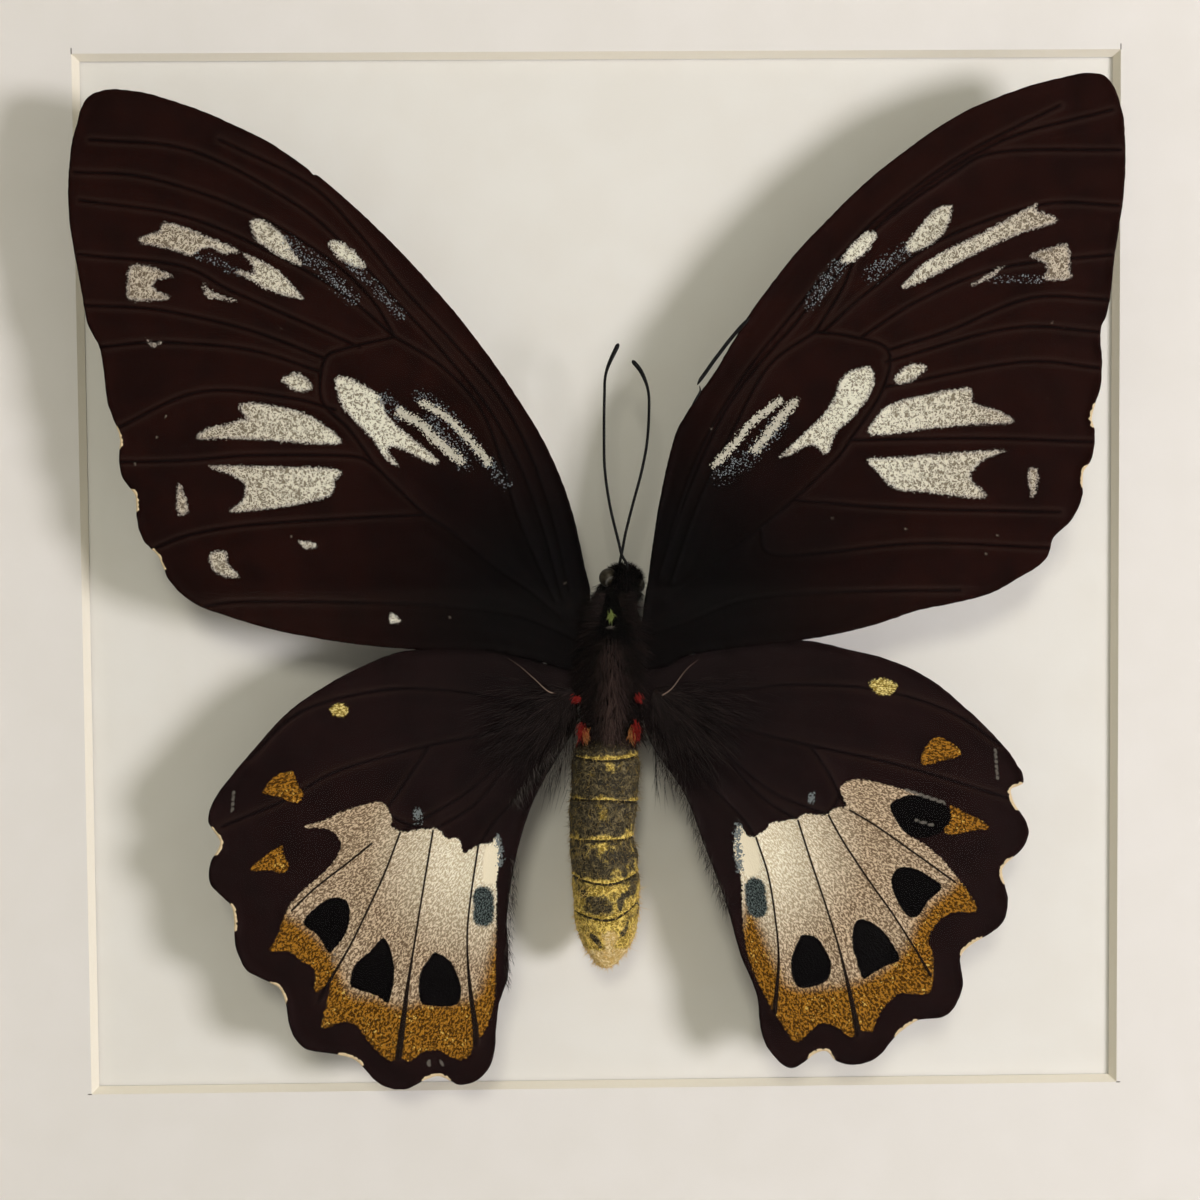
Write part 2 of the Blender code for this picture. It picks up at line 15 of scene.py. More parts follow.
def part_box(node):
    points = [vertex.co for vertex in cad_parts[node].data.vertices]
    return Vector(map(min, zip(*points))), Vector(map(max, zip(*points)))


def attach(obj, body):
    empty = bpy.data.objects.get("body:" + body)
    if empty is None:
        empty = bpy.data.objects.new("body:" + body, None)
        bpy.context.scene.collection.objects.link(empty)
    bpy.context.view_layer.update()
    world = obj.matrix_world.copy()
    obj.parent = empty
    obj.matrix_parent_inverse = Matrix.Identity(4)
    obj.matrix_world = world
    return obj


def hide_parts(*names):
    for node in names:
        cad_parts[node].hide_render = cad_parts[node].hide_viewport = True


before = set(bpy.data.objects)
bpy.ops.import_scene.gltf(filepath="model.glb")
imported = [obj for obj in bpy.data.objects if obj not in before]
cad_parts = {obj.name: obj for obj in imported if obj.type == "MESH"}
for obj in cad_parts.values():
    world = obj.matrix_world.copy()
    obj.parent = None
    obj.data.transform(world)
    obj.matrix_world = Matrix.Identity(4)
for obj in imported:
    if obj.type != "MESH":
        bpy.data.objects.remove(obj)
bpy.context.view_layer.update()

MM = 0.001
MAT_LOW, MAT_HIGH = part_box("mat")
MIDDLE = Vector(((MAT_LOW.x + MAT_HIGH.x) / 2, MAT_LOW.y, (MAT_LOW.z + MAT_HIGH.z) / 2))
WINDOW_HALF = 75.0

# Camera, from the window's middle
CAMERA_PLACE = (-5.87, -323.67, 13.25)
CAMERA_PITCH, CAMERA_YAW, CAMERA_ROLL = -2.96, -0.98, 0.44
CAMERA_FIELD = 30.0

# Wings
WING_AXIS = 1.3
WING_RISE = math.tan(math.radians(2))
FOREWING_Y, HINDWING_Y = -11.0, -10.0
MEMBRANE = 0.12
CELL = 0.38
EDGE_STEP = 0.3
FAR = 4.0

# Body
BODY_X = 1.1
THORAX_Y = -7.4
THORAX = (
    (-0.8, 1.2), (-2.4, 1.6), (-4.5, 2.8), (-7.0, 3.7), (-11.0, 4.0),
    (-15.0, 3.6), (-19.0, 3.3), (-22.0, 2.8), (-24.0, 2.0),
)
THORAX_DEEPER = 1.4
ABDOMEN_Y = -7.6
ABDOMEN_TIP = -55.6
ABDOMEN_SIDES = (  # height, left edge, right edge
    (-22.6, -3.4, 3.6), (-24.0, -4.3, 4.6), (-26.5, -4.5, 4.8), (-31.0, -4.8, 4.7),
    (-34.5, -5.0, 4.1), (-37.0, -4.9, 3.9), (-39.5, -4.8, 4.6), (-43.0, -4.6, 4.7),
    (-47.5, -4.4, 4.6), (-50.0, -3.9, 4.3), (-52.5, -3.0, 3.4), (-54.3, -1.8, 2.0),
    (-55.4, -1.4, 1.2),
)
# Rims of the abdomen's rings: height at the middle, and how much higher at each side
RIM_SHAPES = (
    (-25.3, 0.3, 0.3), (-30.9, 0.0, -0.6), (-36.6, -0.1, 0.1), (-42.7, 0.8, 1.2),
    (-47.8, 0.9, 2.3), (-53.2, 3.2, 4.2),
)
# Dark streaks near the abdomen's tip: place across, height, width, length, slant
DARK_STREAKS = (
    (-0.3, -45.9, 0.26, 1.4, -0.05), (0.5, -45.3, 0.16, 1.9, 0.12),
    (-0.48, -50.6, 0.16, 1.5, -0.16), (0.5, -49.9, 0.12, 1.3, 0.14),
)
HEAD = (2.8, -8.0, -0.8)
EYES = ((0.75, -8.9, 0.1), (4.5, -8.4, -0.9))
EYE_RADIUS = 1.36
LEFT_ANTENNA = [
    (3.3, -9.9, 2.0), (2.6, -9.9, 3.3), (2.2, -10.0, 5.0), (1.0, -10.4, 10.1), (0.3, -11.0, 15.1),
    (0.2, -11.4, 19.7), (0.3, -11.7, 25.5), (0.6, -11.9, 28.9), (2.3, -12.0, 32.7),
]
RIGHT_ANTENNA = [
    (2.3, -8.9, 2.0), (2.7, -8.9, 3.9), (3.2, -9.1, 6.5), (4.2, -9.5, 10.4), (5.4, -10.0, 14.8),
    (6.2, -10.4, 18.9), (6.5, -10.8, 23.1), (6.4, -11.0, 26.2), (5.5, -11.2, 28.7), (4.2, -11.3, 30.4),
]

# Hairs: rings of three points, and a tip
HAIR_RINGS = 3
HAIR_POINTS = HAIR_RINGS * 3 + 1

# Settings shared by the surfaces without gloss
MATT = {"Specular IOR Level": 0.02}

# Stage
FLOOR_HALF = 3.0
ROOM_LIGHT = 0.22

# Forewing veins, outward from the base
LEFT_FORE_VEINS = [
    [(-4.7, -1.5), (-7.7, 11.1), (-13.1, 23.6), (-20.3, 32.7), (-27.2, 40.3), (-33.2, 47.8),
     (-40.0, 54.7), (-52.2, 60.8)],
    [(-5.8, -2.3), (-9.3, 10.4), (-14.9, 22.5), (-22.0, 31.7), (-29.0, 39.4), (-35.3, 46.4),
     (-42.8, 52.6), (-56.3, 59.4), (-69.8, 60.8)],
    [(-6.8, -2.9), (-11.6, 8.4), (-14.3, 17.4), (-17.2, 24.3), (-22.4, 29.9), (-28.6, 33.8)],
    [(-28.6, 33.8), (-35.5, 32.2), (-38.3, 30.7), (-38.8, 25.2), (-35.0, 21.0), (-31.6, 16.1)],
    [(-28.6, 33.8), (-31.7, 38.9), (-37.4, 44.4), (-48.3, 51.0), (-61.8, 55.6), (-72.0, 56.4)],
    [(-28.6, 33.8), (-35.4, 39.6), (-42.9, 44.1), (-56.4, 50.2), (-71.3, 52.6)],
    [(-33.4, 32.4), (-40.3, 35.5), (-51.1, 40.3), (-58.0, 43.7), (-71.5, 45.2)],
    [(-38.3, 30.9), (-48.5, 34.8), (-60.7, 37.6), (-71.1, 38.3)],
    [(-38.7, 29.0), (-48.5, 32.1), (-60.8, 33.2), (-69.5, 32.5)],
    [(-37.0, 23.8), (-43.2, 25.5), (-55.5, 26.4), (-66.8, 21.5)],
    [(-31.6, 16.1), (-35.0, 17.4), (-48.8, 17.6), (-57.0, 17.0), (-66.8, 16.8)],
    [(-31.6, 16.1), (-25.4, 9.9), (-21.3, 7.0), (-14.4, 1.4), (-10.3, -1.4), (-6.1, -5.0)],
    [(-24.8, 9.2), (-35.1, 8.8), (-48.9, 8.0), (-57.2, 6.7), (-62.7, 4.6)],
    [(-3.6, -8.5), (-8.2, -6.3), (-12.4, -4.8), (-20.0, -3.7), (-28.4, -3.1), (-49.1, -2.6),
     (-55.3, -3.2)],
]
RIGHT_FORE_VEINS = [
    [(7.9, 0.5), (10.5, 9.6), (14.3, 19.3), (19.8, 28.3), (25.8, 35.8), (31.8, 42.9),
     (38.6, 50.0), (49.6, 58.0), (63.4, 64.9)],
    [(8.6, 2.6), (12.1, 12.3), (16.4, 22.0), (20.9, 28.6), (26.6, 35.0), (32.4, 41.8),
     (41.4, 51.4), (55.1, 60.0), (70.5, 64.2)],
    [(9.6, -0.2), (13.5, 10.9), (18.5, 21.3), (23.3, 29.6), (29.6, 34.1)],
    [(29.6, 34.1), (34.4, 33.5), (39.7, 31.5), (38.9, 26.0), (34.4, 19.1), (33.0, 17.0)],
    [(29.6, 34.1), (33.3, 39.9), (37.2, 47.4), (48.3, 55.5), (55.1, 58.6), (71.6, 58.7)],
    [(30.6, 34.0), (37.2, 39.8), (46.9, 46.6), (60.7, 51.3), (71.4, 51.1)],
    [(35.8, 33.2), (44.1, 38.4), (55.2, 42.7), (70.6, 44.4)],
    [(39.7, 31.5), (48.3, 34.2), (59.3, 38.5), (70.1, 38.2)],
    [(39.4, 29.9), (56.6, 34.4), (69.0, 33.8)],
    [(39.1, 26.4), (57.9, 29.7), (69.0, 28.8)],
    [(34.7, 19.1), (52.4, 19.2), (67.9, 18.6)],
    [(33.0, 17.0), (28.8, 12.9), (23.3, 8.1), (17.7, 3.9), (13.5, 0.5), (8.6, -3.0)],
    [(26.8, 10.8), (41.3, 9.6), (63.5, 8.9)],
    [(21.9, 7.0), (24.6, 3.2), (44.1, 4.7), (62.2, 3.9)],
    [(7.1, -7.5), (12.0, -5.8), (20.4, -2.8), (34.4, -2.0), (49.7, -1.9)],
]

# Ivory patches, bare of dark scales
LEFT_IVORY = [
    [(-63.6, 47.0), (-61.9, 48.1), (-60.6, 48.4), (-60.3, 49.4), (-58.6, 49.4), (-54.7, 47.9),
     (-49.8, 45.7), (-52.2, 45.4), (-53.5, 46.1), (-55.1, 45.9), (-56.3, 45.0), (-57.9, 45.5),
     (-60.6, 46.2)],
    [(-49.4, 45.4), (-48.1, 43.7), (-48.1, 42.6), (-49.7, 43.1), (-50.3, 42.7), (-48.4, 41.7),
     (-45.7, 40.2), (-41.7, 39.1), (-41.2, 39.3), (-42.7, 41.0), (-44.5, 43.0), (-47.4, 44.6)],
    [(-64.7, 43.6), (-62.0, 43.6), (-58.9, 42.3), (-60.4, 41.9), (-61.5, 41.3), (-61.4, 40.5),
     (-59.5, 39.5), (-60.3, 39.0), (-64.7, 39.0), (-65.2, 40.5)],
    [(-54.8, 41.2), (-53.5, 40.1), (-50.2, 38.8), (-52.8, 39.1), (-54.3, 39.4)],
    [(-48.3, 49.6), (-47.0, 50.0), (-45.8, 49.5), (-44.5, 48.5), (-43.4, 47.3), (-42.6, 45.8),
     (-41.3, 43.7), (-43.6, 44.5), (-45.6, 45.8), (-47.5, 47.2)],
    [(-37.6, 46.6), (-36.7, 47.1), (-34.9, 46.3), (-33.6, 45.1), (-32.5, 43.3), (-34.4, 43.6),
     (-36.3, 44.7)],
    [(-44.2, 28.2), (-42.4, 28.9), (-40.8, 28.1), (-40.1, 26.8), (-42.2, 26.4), (-43.7, 27.4)],
    [(-56.0, 19.9), (-54.5, 21.4), (-52.1, 21.9), (-50.1, 22.6), (-49.1, 22.6), (-50.2, 24.4),
     (-47.6, 24.8), (-41.4, 23.4), (-37.5, 21.0), (-36.2, 19.4), (-39.1, 19.1), (-50.1, 19.9)],
    [(-54.3, 16.2), (-45.4, 16.0), (-36.7, 15.6), (-37.1, 14.1), (-37.8, 12.0), (-41.3, 11.0),
     (-45.4, 10.3), (-51.6, 9.8), (-50.1, 11.2), (-49.5, 13.0), (-50.2, 14.2), (-52.4, 15.3)],
    [(-36.9, 28.2), (-34.6, 28.0), (-30.8, 25.7), (-30.0, 23.3), (-27.8, 21.0), (-23.0, 16.9),
     (-24.0, 16.4), (-28.4, 18.5), (-29.9, 18.2), (-28.3, 16.0), (-30.3, 17.2), (-31.7, 19.5),
     (-35.1, 23.1), (-36.3, 24.9)],
    [(-58.8, 13.3), (-58.3, 13.6), (-57.5, 11.1), (-57.5, 9.7), (-58.8, 9.7)],
    [(-54.5, 4.1), (-52.4, 4.3), (-52.0, 2.6), (-50.5, 0.8), (-52.6, 0.9), (-54.2, 1.9)],
    [(-42.3, 5.7), (-40.4, 5.5), (-39.7, 5.0), (-41.3, 4.6)],
    [(-62.6, 33.8), (-61.9, 33.1), (-60.5, 33.2), (-61.9, 32.6)],
    [(-29.6, -4.4), (-28.3, -5.7), (-29.8, -5.8)],
]
RIGHT_IVORY = [
    [(41.6, 40.1), (43.0, 41.8), (45.8, 44.2), (53.1, 47.8), (59.8, 51.3), (60.1, 50.6),
     (63.1, 49.1), (57.6, 47.3), (51.0, 44.3), (43.9, 40.7)],
    [(59.3, 44.4), (62.0, 45.4), (64.4, 45.9), (64.8, 42.7), (64.7, 41.1), (61.1, 41.1),
     (61.5, 42.0), (61.4, 43.2)],
    [(51.0, 40.3), (53.1, 41.6), (55.6, 43.0), (53.8, 41.3)],
    [(42.5, 45.0), (42.2, 46.0), (43.9, 48.3), (46.2, 50.8), (48.4, 51.4), (48.5, 50.3),
     (47.6, 47.9), (45.1, 45.7)],
    [(33.1, 43.7), (34.5, 45.8), (36.7, 47.8), (38.1, 47.3), (36.7, 45.1), (34.5, 43.6)],
    [(40.8, 26.8), (40.9, 28.1), (43.0, 29.6), (45.1, 29.1), (43.2, 27.4)],
    [(37.2, 19.8), (38.3, 22.6), (39.6, 23.8), (43.4, 25.0), (50.8, 26.2), (51.5, 24.1),
     (54.8, 23.1), (57.1, 21.4), (51.0, 21.1), (45.5, 20.6)],
    [(36.9, 16.5), (42.0, 16.7), (55.5, 17.6), (53.1, 16.3), (51.3, 14.5), (51.3, 13.4),
     (53.1, 10.9), (44.8, 11.8), (40.7, 12.3), (38.0, 14.9)],
    [(32.8, 26.8), (34.2, 28.5), (37.2, 29.2), (37.8, 27.1), (36.6, 24.6), (34.7, 22.2),
     (32.5, 20.2), (31.1, 17.1), (29.1, 18.5), (24.7, 16.7), (28.2, 20.3), (31.0, 23.0),
     (32.5, 25.5)],
    [(59.1, 14.8), (60.2, 14.9), (60.5, 13.6), (59.9, 11.1), (59.4, 11.4)],
]

# Streaks of bluish dust: width in mm, then the line
LEFT_DUST = [
    (1.0, [(-55.4, 45.0), (-53.1, 44.2)]),
    (0.9, [(-52.5, 43.9), (-50.3, 42.9)]),
    (1.5, [(-43.1, 46.7), (-40.8, 45.0), (-38.8, 43.7), (-36.4, 41.1), (-34.5, 39.2)]),
    (1.2, [(-34.7, 43.7), (-31.7, 41.2), (-28.0, 36.7)]),
    (1.4, [(-25.3, 25.8), (-22.8, 24.0), (-21.1, 22.3), (-18.4, 19.4), (-15.9, 16.3), (-13.6, 13.5)]),
    (1.5, [(-30.4, 25.4), (-28.3, 23.4)]),
    (1.8, [(-23.9, 22.3), (-19.2, 16.5)]),
]
RIGHT_DUST = [
    (1.6, [(42.1, 45.3), (39.7, 43.7), (37.5, 41.9)]),
    (1.6, [(33.1, 43.5), (31.0, 41.0), (29.2, 38.3)]),
    (1.8, [(24.7, 21.7), (21.2, 17.8), (16.6, 14.2)]),
    (0.8, [(54.3, 41.1), (60.7, 41.1)]),
]
# Streaks of worn ivory scales
LEFT_STREAKS = [
    (1.2, [(-28.0, 23.4), (-25.3, 21.8), (-22.6, 19.1), (-19.8, 16.8)]),
    (0.9, [(-25.0, 24.6), (-22.6, 23.4), (-21.1, 22.3), (-18.4, 19.4), (-15.9, 16.3)]),
]
RIGHT_STREAKS = [
    (1.1, [(26.8, 24.5), (24.0, 21.3), (21.2, 17.8)]),
    (0.9, [(24.7, 24.7), (21.2, 22.0), (18.4, 18.8), (15.6, 15.8)]),
]
LEFT_SPECKS = [
    (-60.3, 23.0), (-61.5, 20.2), (-64.5, 16.5), (-44.3, 35.0), (-43.3, 6.4), (-21.5, -5.2),
    (-4.7, -3.7), (-5.4, -0.4),
]
RIGHT_SPECKS = [
    (15.1, 20.9), (62.4, 35.1), (61.7, 24.6), (54.9, 5.8), (53.3, 3.1), (42.2, 6.8), (31.9, 8.3),
]
LEFT_FORE_CHIPS = [(-67.2, 20.1), (-64.6, 11.6), (-61.3, 3.5)]
RIGHT_FORE_CHIPS = [(68.1, 22.3), (66.8, 13.9)]

# Costa of the right forewing, split away from the wing and snapped
SPLIT_EDGE = [
    (12.5, 24.3), (13.6, 25.9), (14.5, 27.0), (15.2, 28.0), (15.9, 29.0), (16.6, 30.2),
    (17.6, 31.9), (18.9, 34.0), (20.6, 36.8),
]
SPLINTER = [
    (20.6, 36.2), (19.3, 34.9), (18.5, 34.0), (17.4, 32.7), (16.4, 31.4), (15.4, 30.1),
    (14.4, 28.7), (13.6, 27.6), (13.2, 26.9),
]
THREAD = [(13.5, 26.8), (13.6, 26.1), (13.2, 25.3), (12.4, 24.0)]
LEFT_NICK = [(-40.6, 57.1), (-39.5, 56.0), (-38.6, 55.7)]

# Hindwings
LEFT_HIND_VEINS = [
    [(-4.1, -15.6), (-11.8, -16.9), (-21.6, -15.4), (-31.4, -15.3), (-42.5, -18.2), (-49.8, -24.8)],
    [(-4.8, -17.0), (-14.7, -21.1), (-24.5, -23.1), (-37.1, -26.4), (-44.8, -30.5), (-53.6, -34.1)],
    [(-24.5, -23.1), (-28.8, -29.4), (-30.8, -32.4), (-32.8, -36.8)],
    [(-4.8, -17.7), (-11.9, -23.3), (-19.0, -29.5), (-23.8, -32.5), (-28.8, -35.3)],
    [(-11.9, -23.3), (-17.6, -30.9), (-24.2, -35.1)],
    [(-4.1, -19.1), (-9.1, -27.5), (-14.8, -33.1), (-17.9, -37.4)],
    [(-30.8, -32.4), (-28.3, -33.9), (-24.2, -35.1)],
]
LEFT_HIND_BORDER_VEINS = [
    [(-32.8, -36.8), (-36.6, -39.8), (-40.8, -43.0), (-44.1, -46.1)],
    [(-28.8, -35.3), (-31.0, -40.9), (-33.4, -46.0), (-36.0, -51.2), (-38.9, -56.1), (-40.6, -59.2)],
    [(-24.2, -35.1), (-25.7, -43.5), (-26.8, -49.9), (-28.0, -57.0), (-29.2, -65.5), (-29.5, -67.4)],
    [(-17.9, -37.4), (-19.1, -45.1), (-19.6, -50.8), (-19.3, -57.2), (-18.6, -62.9), (-18.5, -65.7)],
]
RIGHT_HIND_VEINS = [
    [(6.7, -15.7), (16.3, -15.8), (27.5, -15.0), (38.7, -15.9), (48.5, -19.0), (55.5, -23.7)],
    [(7.1, -17.1), (17.6, -20.7), (28.9, -23.6), (41.5, -26.5), (57.6, -31.5)],
    [(28.9, -23.6), (31.6, -27.8), (33.0, -30.7), (34.4, -32.8)],
    [(7.8, -18.8), (16.2, -24.2), (23.2, -29.9), (28.1, -32.2), (31.4, -33.5)],
    [(16.2, -24.2), (21.8, -30.6), (27.1, -34.2)],
    [(7.1, -20.6), (13.4, -27.7), (19.0, -33.4), (21.2, -36.6)],
    [(33.0, -30.7), (31.4, -33.1), (27.1, -34.2)],
]
RIGHT_HIND_BORDER_VEINS = [
    [(34.4, -32.8), (38.0, -35.0), (42.9, -38.5), (49.2, -43.1)],
    [(31.4, -33.5), (33.5, -37.3), (37.0, -42.7), (40.5, -47.7), (43.8, -53.0), (45.7, -56.3)],
    [(27.1, -34.2), (29.1, -40.6), (31.2, -47.0), (33.1, -53.4), (35.0, -62.0), (35.5, -64.8)],
    [(21.2, -36.6), (22.9, -42.0), (23.9, -48.4), (24.3, -54.1), (23.7, -61.5)],
]
LEFT_PALE = [
    (-42.4, -34.4), (-39.3, -33.4), (-36.5, -32.1), (-32.3, -31.0), (-30.9, -31.3), (-29.9, -33.3),
    (-30.1, -34.4), (-28.3, -35.3), (-26.3, -34.9), (-23.5, -34.9), (-22.4, -36.2), (-20.7, -36.3),
    (-20.0, -38.3), (-19.1, -38.0), (-17.9, -37.3), (-16.2, -37.0), (-15.0, -35.9), (-14.9, -39.5),
    (-15.3, -42.6), (-15.6, -53.7), (-15.9, -59.4), (-17.1, -63.6), (-18.6, -65.3), (-19.5, -67.2),
    (-21.2, -67.8), (-23.9, -66.4), (-26.1, -66.7), (-27.8, -67.8), (-29.5, -67.4), (-30.9, -67.6),
    (-33.4, -65.2), (-35.2, -62.7), (-37.3, -62.1), (-39.7, -62.9), (-40.1, -62.0), (-38.9, -56.8),
    (-40.9, -57.7), (-41.1, -54.6), (-43.0, -53.2), (-44.7, -51.9), (-47.2, -51.8), (-46.3, -50.0),
    (-44.2, -45.1), (-40.4, -41.5), (-38.2, -39.4), (-37.1, -37.1), (-37.5, -36.0), (-38.9, -34.7),
]
RIGHT_PALE = [
    (18.7, -34.9), (20.1, -36.3), (21.1, -36.4), (22.8, -35.2), (23.2, -34.6), (25.3, -34.2),
    (27.0, -33.9), (28.1, -33.3), (30.9, -33.4), (32.3, -32.5), (33.9, -32.2), (33.0, -29.8),
    (34.5, -28.6), (36.7, -28.6), (40.1, -29.4), (44.3, -30.9), (40.9, -31.4), (40.2, -32.8),
    (42.2, -36.0), (45.0, -37.8), (48.2, -40.8), (52.3, -46.9), (48.5, -47.5), (46.0, -49.8),
    (45.5, -51.3), (46.1, -54.2), (45.5, -58.9), (41.4, -58.9), (38.6, -61.7), (37.5, -64.4),
    (35.9, -64.1), (34.4, -65.1), (32.7, -63.8), (30.4, -63.1), (28.5, -64.5), (26.6, -65.8),
    (24.4, -62.7), (22.0, -58.4), (20.0, -53.4), (19.2, -47.6), (19.1, -42.7), (18.1, -38.4),
]
LEFT_SPOTS = [
    [(-42.4, -47.5), (-40.8, -45.8), (-38.7, -44.5), (-36.6, -44.8), (-36.0, -46.9), (-36.7, -49.7),
     (-38.6, -52.0), (-39.1, -52.1), (-40.5, -49.7), (-42.1, -48.5)],
    [(-36.1, -56.8), (-35.4, -54.0), (-33.2, -52.1), (-31.8, -50.5), (-31.0, -50.5), (-30.2, -52.7),
     (-29.9, -55.5), (-30.4, -58.4), (-31.0, -59.5), (-32.2, -58.5), (-34.7, -57.6)],
    [(-26.3, -55.6), (-24.8, -53.1), (-23.9, -52.5), (-22.0, -53.8), (-20.8, -56.4), (-20.5, -57.9),
     (-20.8, -59.3), (-21.8, -60.1), (-24.9, -60.0), (-26.3, -59.2)],
]
RIGHT_SPOTS = [
    [(40.2, -32.8), (40.5, -31.8), (43.1, -30.7), (47.1, -31.7), (48.8, -33.6), (47.8, -35.6),
     (45.0, -36.8), (42.2, -36.0)],
    [(40.2, -43.0), (41.2, -41.1), (43.6, -41.2), (46.9, -43.2), (47.1, -44.2), (45.4, -45.8),
     (44.1, -47.8), (42.7, -48.0), (41.2, -46.0)],
    [(34.7, -51.3), (35.3, -48.6), (37.0, -48.6), (39.3, -50.3), (41.4, -53.9), (39.6, -54.9),
     (37.6, -56.0), (36.2, -56.7), (35.3, -54.1)],
    [(26.1, -54.1), (27.1, -51.4), (27.9, -50.5), (29.8, -51.0), (31.3, -53.4), (31.7, -54.8),
     (31.0, -57.1), (27.8, -58.1), (26.4, -56.9)],
]
# Where the pale scales turn to gold, inner end to outer end
LEFT_GOLD_LINE = [
    (-15.0, -49.4), (-18.1, -57.9), (-21.4, -59.3), (-25.6, -59.2), (-29.1, -59.8), (-32.2, -58.6),
    (-36.1, -57.6), (-38.8, -51.8), (-44.3, -47.0), (-48.3, -48.1),
]
RIGHT_GOLD_LINE = [
    (19.6, -46.2), (23.8, -54.1), (26.2, -57.7), (31.6, -57.7), (36.1, -56.7), (39.3, -55.0),
    (42.2, -52.0), (44.0, -48.2), (47.8, -44.5), (53.4, -42.8),
]
LEFT_GOLD = [
    [(-47.8, -28.9), (-46.1, -27.1), (-44.0, -26.5), (-43.5, -26.8), (-42.8, -28.7), (-42.1, -29.6),
     (-43.1, -31.0), (-45.5, -30.1), (-47.7, -29.6)],
    [(-49.9, -40.3), (-47.8, -38.4), (-45.4, -36.9), (-45.2, -38.0), (-44.4, -39.7), (-44.7, -40.4),
     (-45.9, -40.9), (-47.0, -40.4)],
]
RIGHT_GOLD = [
    [(45.7, -23.0), (47.1, -22.6), (48.7, -23.4), (50.0, -24.6), (49.7, -25.3), (47.8, -25.8),
     (45.0, -26.5), (44.4, -25.5)],
    [(48.5, -32.2), (50.6, -33.3), (52.8, -34.3), (53.9, -35.6), (52.0, -35.7), (48.9, -36.4),
     (47.5, -35.8), (48.6, -34.3)],
]
LEFT_YELLOW = [(-38.1, -17.4), (-37.0, -17.0), (-35.9, -17.6), (-35.9, -18.6), (-37.0, -19.0),
               (-38.2, -18.5)]
RIGHT_YELLOW = [(37.1, -15.0), (39.0, -14.2), (41.1, -15.2), (40.1, -16.5), (38.4, -16.5)]
LEFT_HIND_DUST = [
    (0.8, [(-26.3, -32.5), (-26.3, -33.6)]),
    (0.6, [(-15.2, -36.0), (-14.8, -38.1), (-14.9, -40.0)]),
]
RIGHT_HIND_DUST = [
    (0.6, [(29.0, -30.7), (29.0, -31.5)]),
    (0.8, [(18.6, -34.9), (18.7, -37.7), (18.8, -41.0)]),
]
# Dark smudge over the inner column of each hindwing
LEFT_SMUDGE = [(1.9, [(-17.3, -44.6), (-17.2, -46.0), (-17.3, -47.4)])]
RIGHT_SMUDGE = [(1.9, [(21.0, -43.8), (21.1, -45.1), (21.3, -46.6)])]
LEFT_STRIP = [(-16.0, -37.3), (-15.0, -37.3), (-15.0, -42.3), (-16.3, -42.9), (-17.4, -42.3),
              (-17.1, -38.0)]
RIGHT_STRIP = [(18.7, -36.3), (21.1, -36.7), (21.8, -41.3), (19.9, -42.2), (19.1, -40.1)]
LEFT_HIND_CHIPS = [(-54.6, -36.1), (-52.0, -46.9), (-46.7, -58.1), (-36.1, -67.2), (-24.2, -70.6)]
RIGHT_HIND_CHIPS = [(57.9, -30.9), (56.5, -41.4), (51.7, -52.5), (42.3, -63.9), (30.3, -67.8)]
# Vein ridges at the roots of the hindwings, painted tan as a highlight where light catches them
LEFT_RIDGE = [(-13.4, -11.0), (-11.8, -12.1), (-9.8, -13.9), (-8.0, -15.6), (-6.8, -16.0)]
RIGHT_RIDGE = [(13.2, -11.4), (11.4, -12.9), (9.5, -15.4), (8.1, -16.4)]
# Fringe on the hindwings' inner margins: line of roots, count, heading, length
FRINGE_ROWS = [
    ([(-12.7, -31.0), (-9.1, -26.1), (-5.6, -21.9)], 300, (0.12, -0.1, -1.0), 2.0),
    ([(-12.9, -39.0), (-13.8, -49.4), (-14.1, -57.3)], 260, (0.3, -0.1, -1.0), 1.4),
    ([(17.1, -46.4), (13.9, -37.7), (11.3, -30.6), (8.5, -26.3)], 380, (-0.18, -0.1, -1.0), 2.0),
    ([(8.5, -26.3), (6.6, -21.5)], 140, (-0.1, -0.1, -1.0), 2.0),
]
LEFT_SCRATCHES = [
    (0.2, [(-51.9, -28.9), (-52.2, -32.1)]),
    (0.35, [(-25.2, -68.0), (-25.2, -68.5)]),
    (0.2, [(-23.5, -67.8), (-23.3, -68.5)]),
    (0.12, [(-38.1, -51.8), (-38.4, -53.5)]),
]
RIGHT_SCRATCHES = [
    (0.2, [(43.6, -34.3), (46.0, -35.0)]),
    (0.2, [(54.8, -24.4), (55.1, -28.4)]),
    (0.25, [(42.2, -30.0), (47.8, -31.9)]),
]


# ---------------------------------------------------------------- lines and outlines

def smooth(points, closed=False, steps=6):
    """A Catmull-Rom curve through the points."""
    p = np.asarray(points, float)
    if closed:
        p = np.vstack([p[-1], p, p[:2]])
    else:
        p = np.vstack([2 * p[0] - p[1], p, 2 * p[-1] - p[-2]])
    t = (np.arange(steps) / steps)[:, None]
    out = []
    for a, b, c, d in zip(p, p[1:], p[2:], p[3:]):
        out.append(0.5 * (2 * b + (c - a) * t + (2 * a - 5 * b + 4 * c - d) * t**2
                          + (3 * b - a - 3 * c + d) * t**3))
    if not closed:
        out.append(p[-2:-1])
    return np.vstack(out)


def even(points, step, closed=False):
    """The same line with evenly spaced points."""
    p = np.asarray(points, float)
    if closed:
        p = np.vstack([p, p[:1]])
    run = np.concatenate([[0], np.cumsum(np.linalg.norm(np.diff(p, axis=0), axis=1))])
    count = max(2, int(round(run[-1] / step)))
    at = np.linspace(0, run[-1], count + 1)
    made = np.stack([np.interp(at, run, p[:, k]) for k in range(p.shape[1])], 1)
    return made[:-1] if closed else made


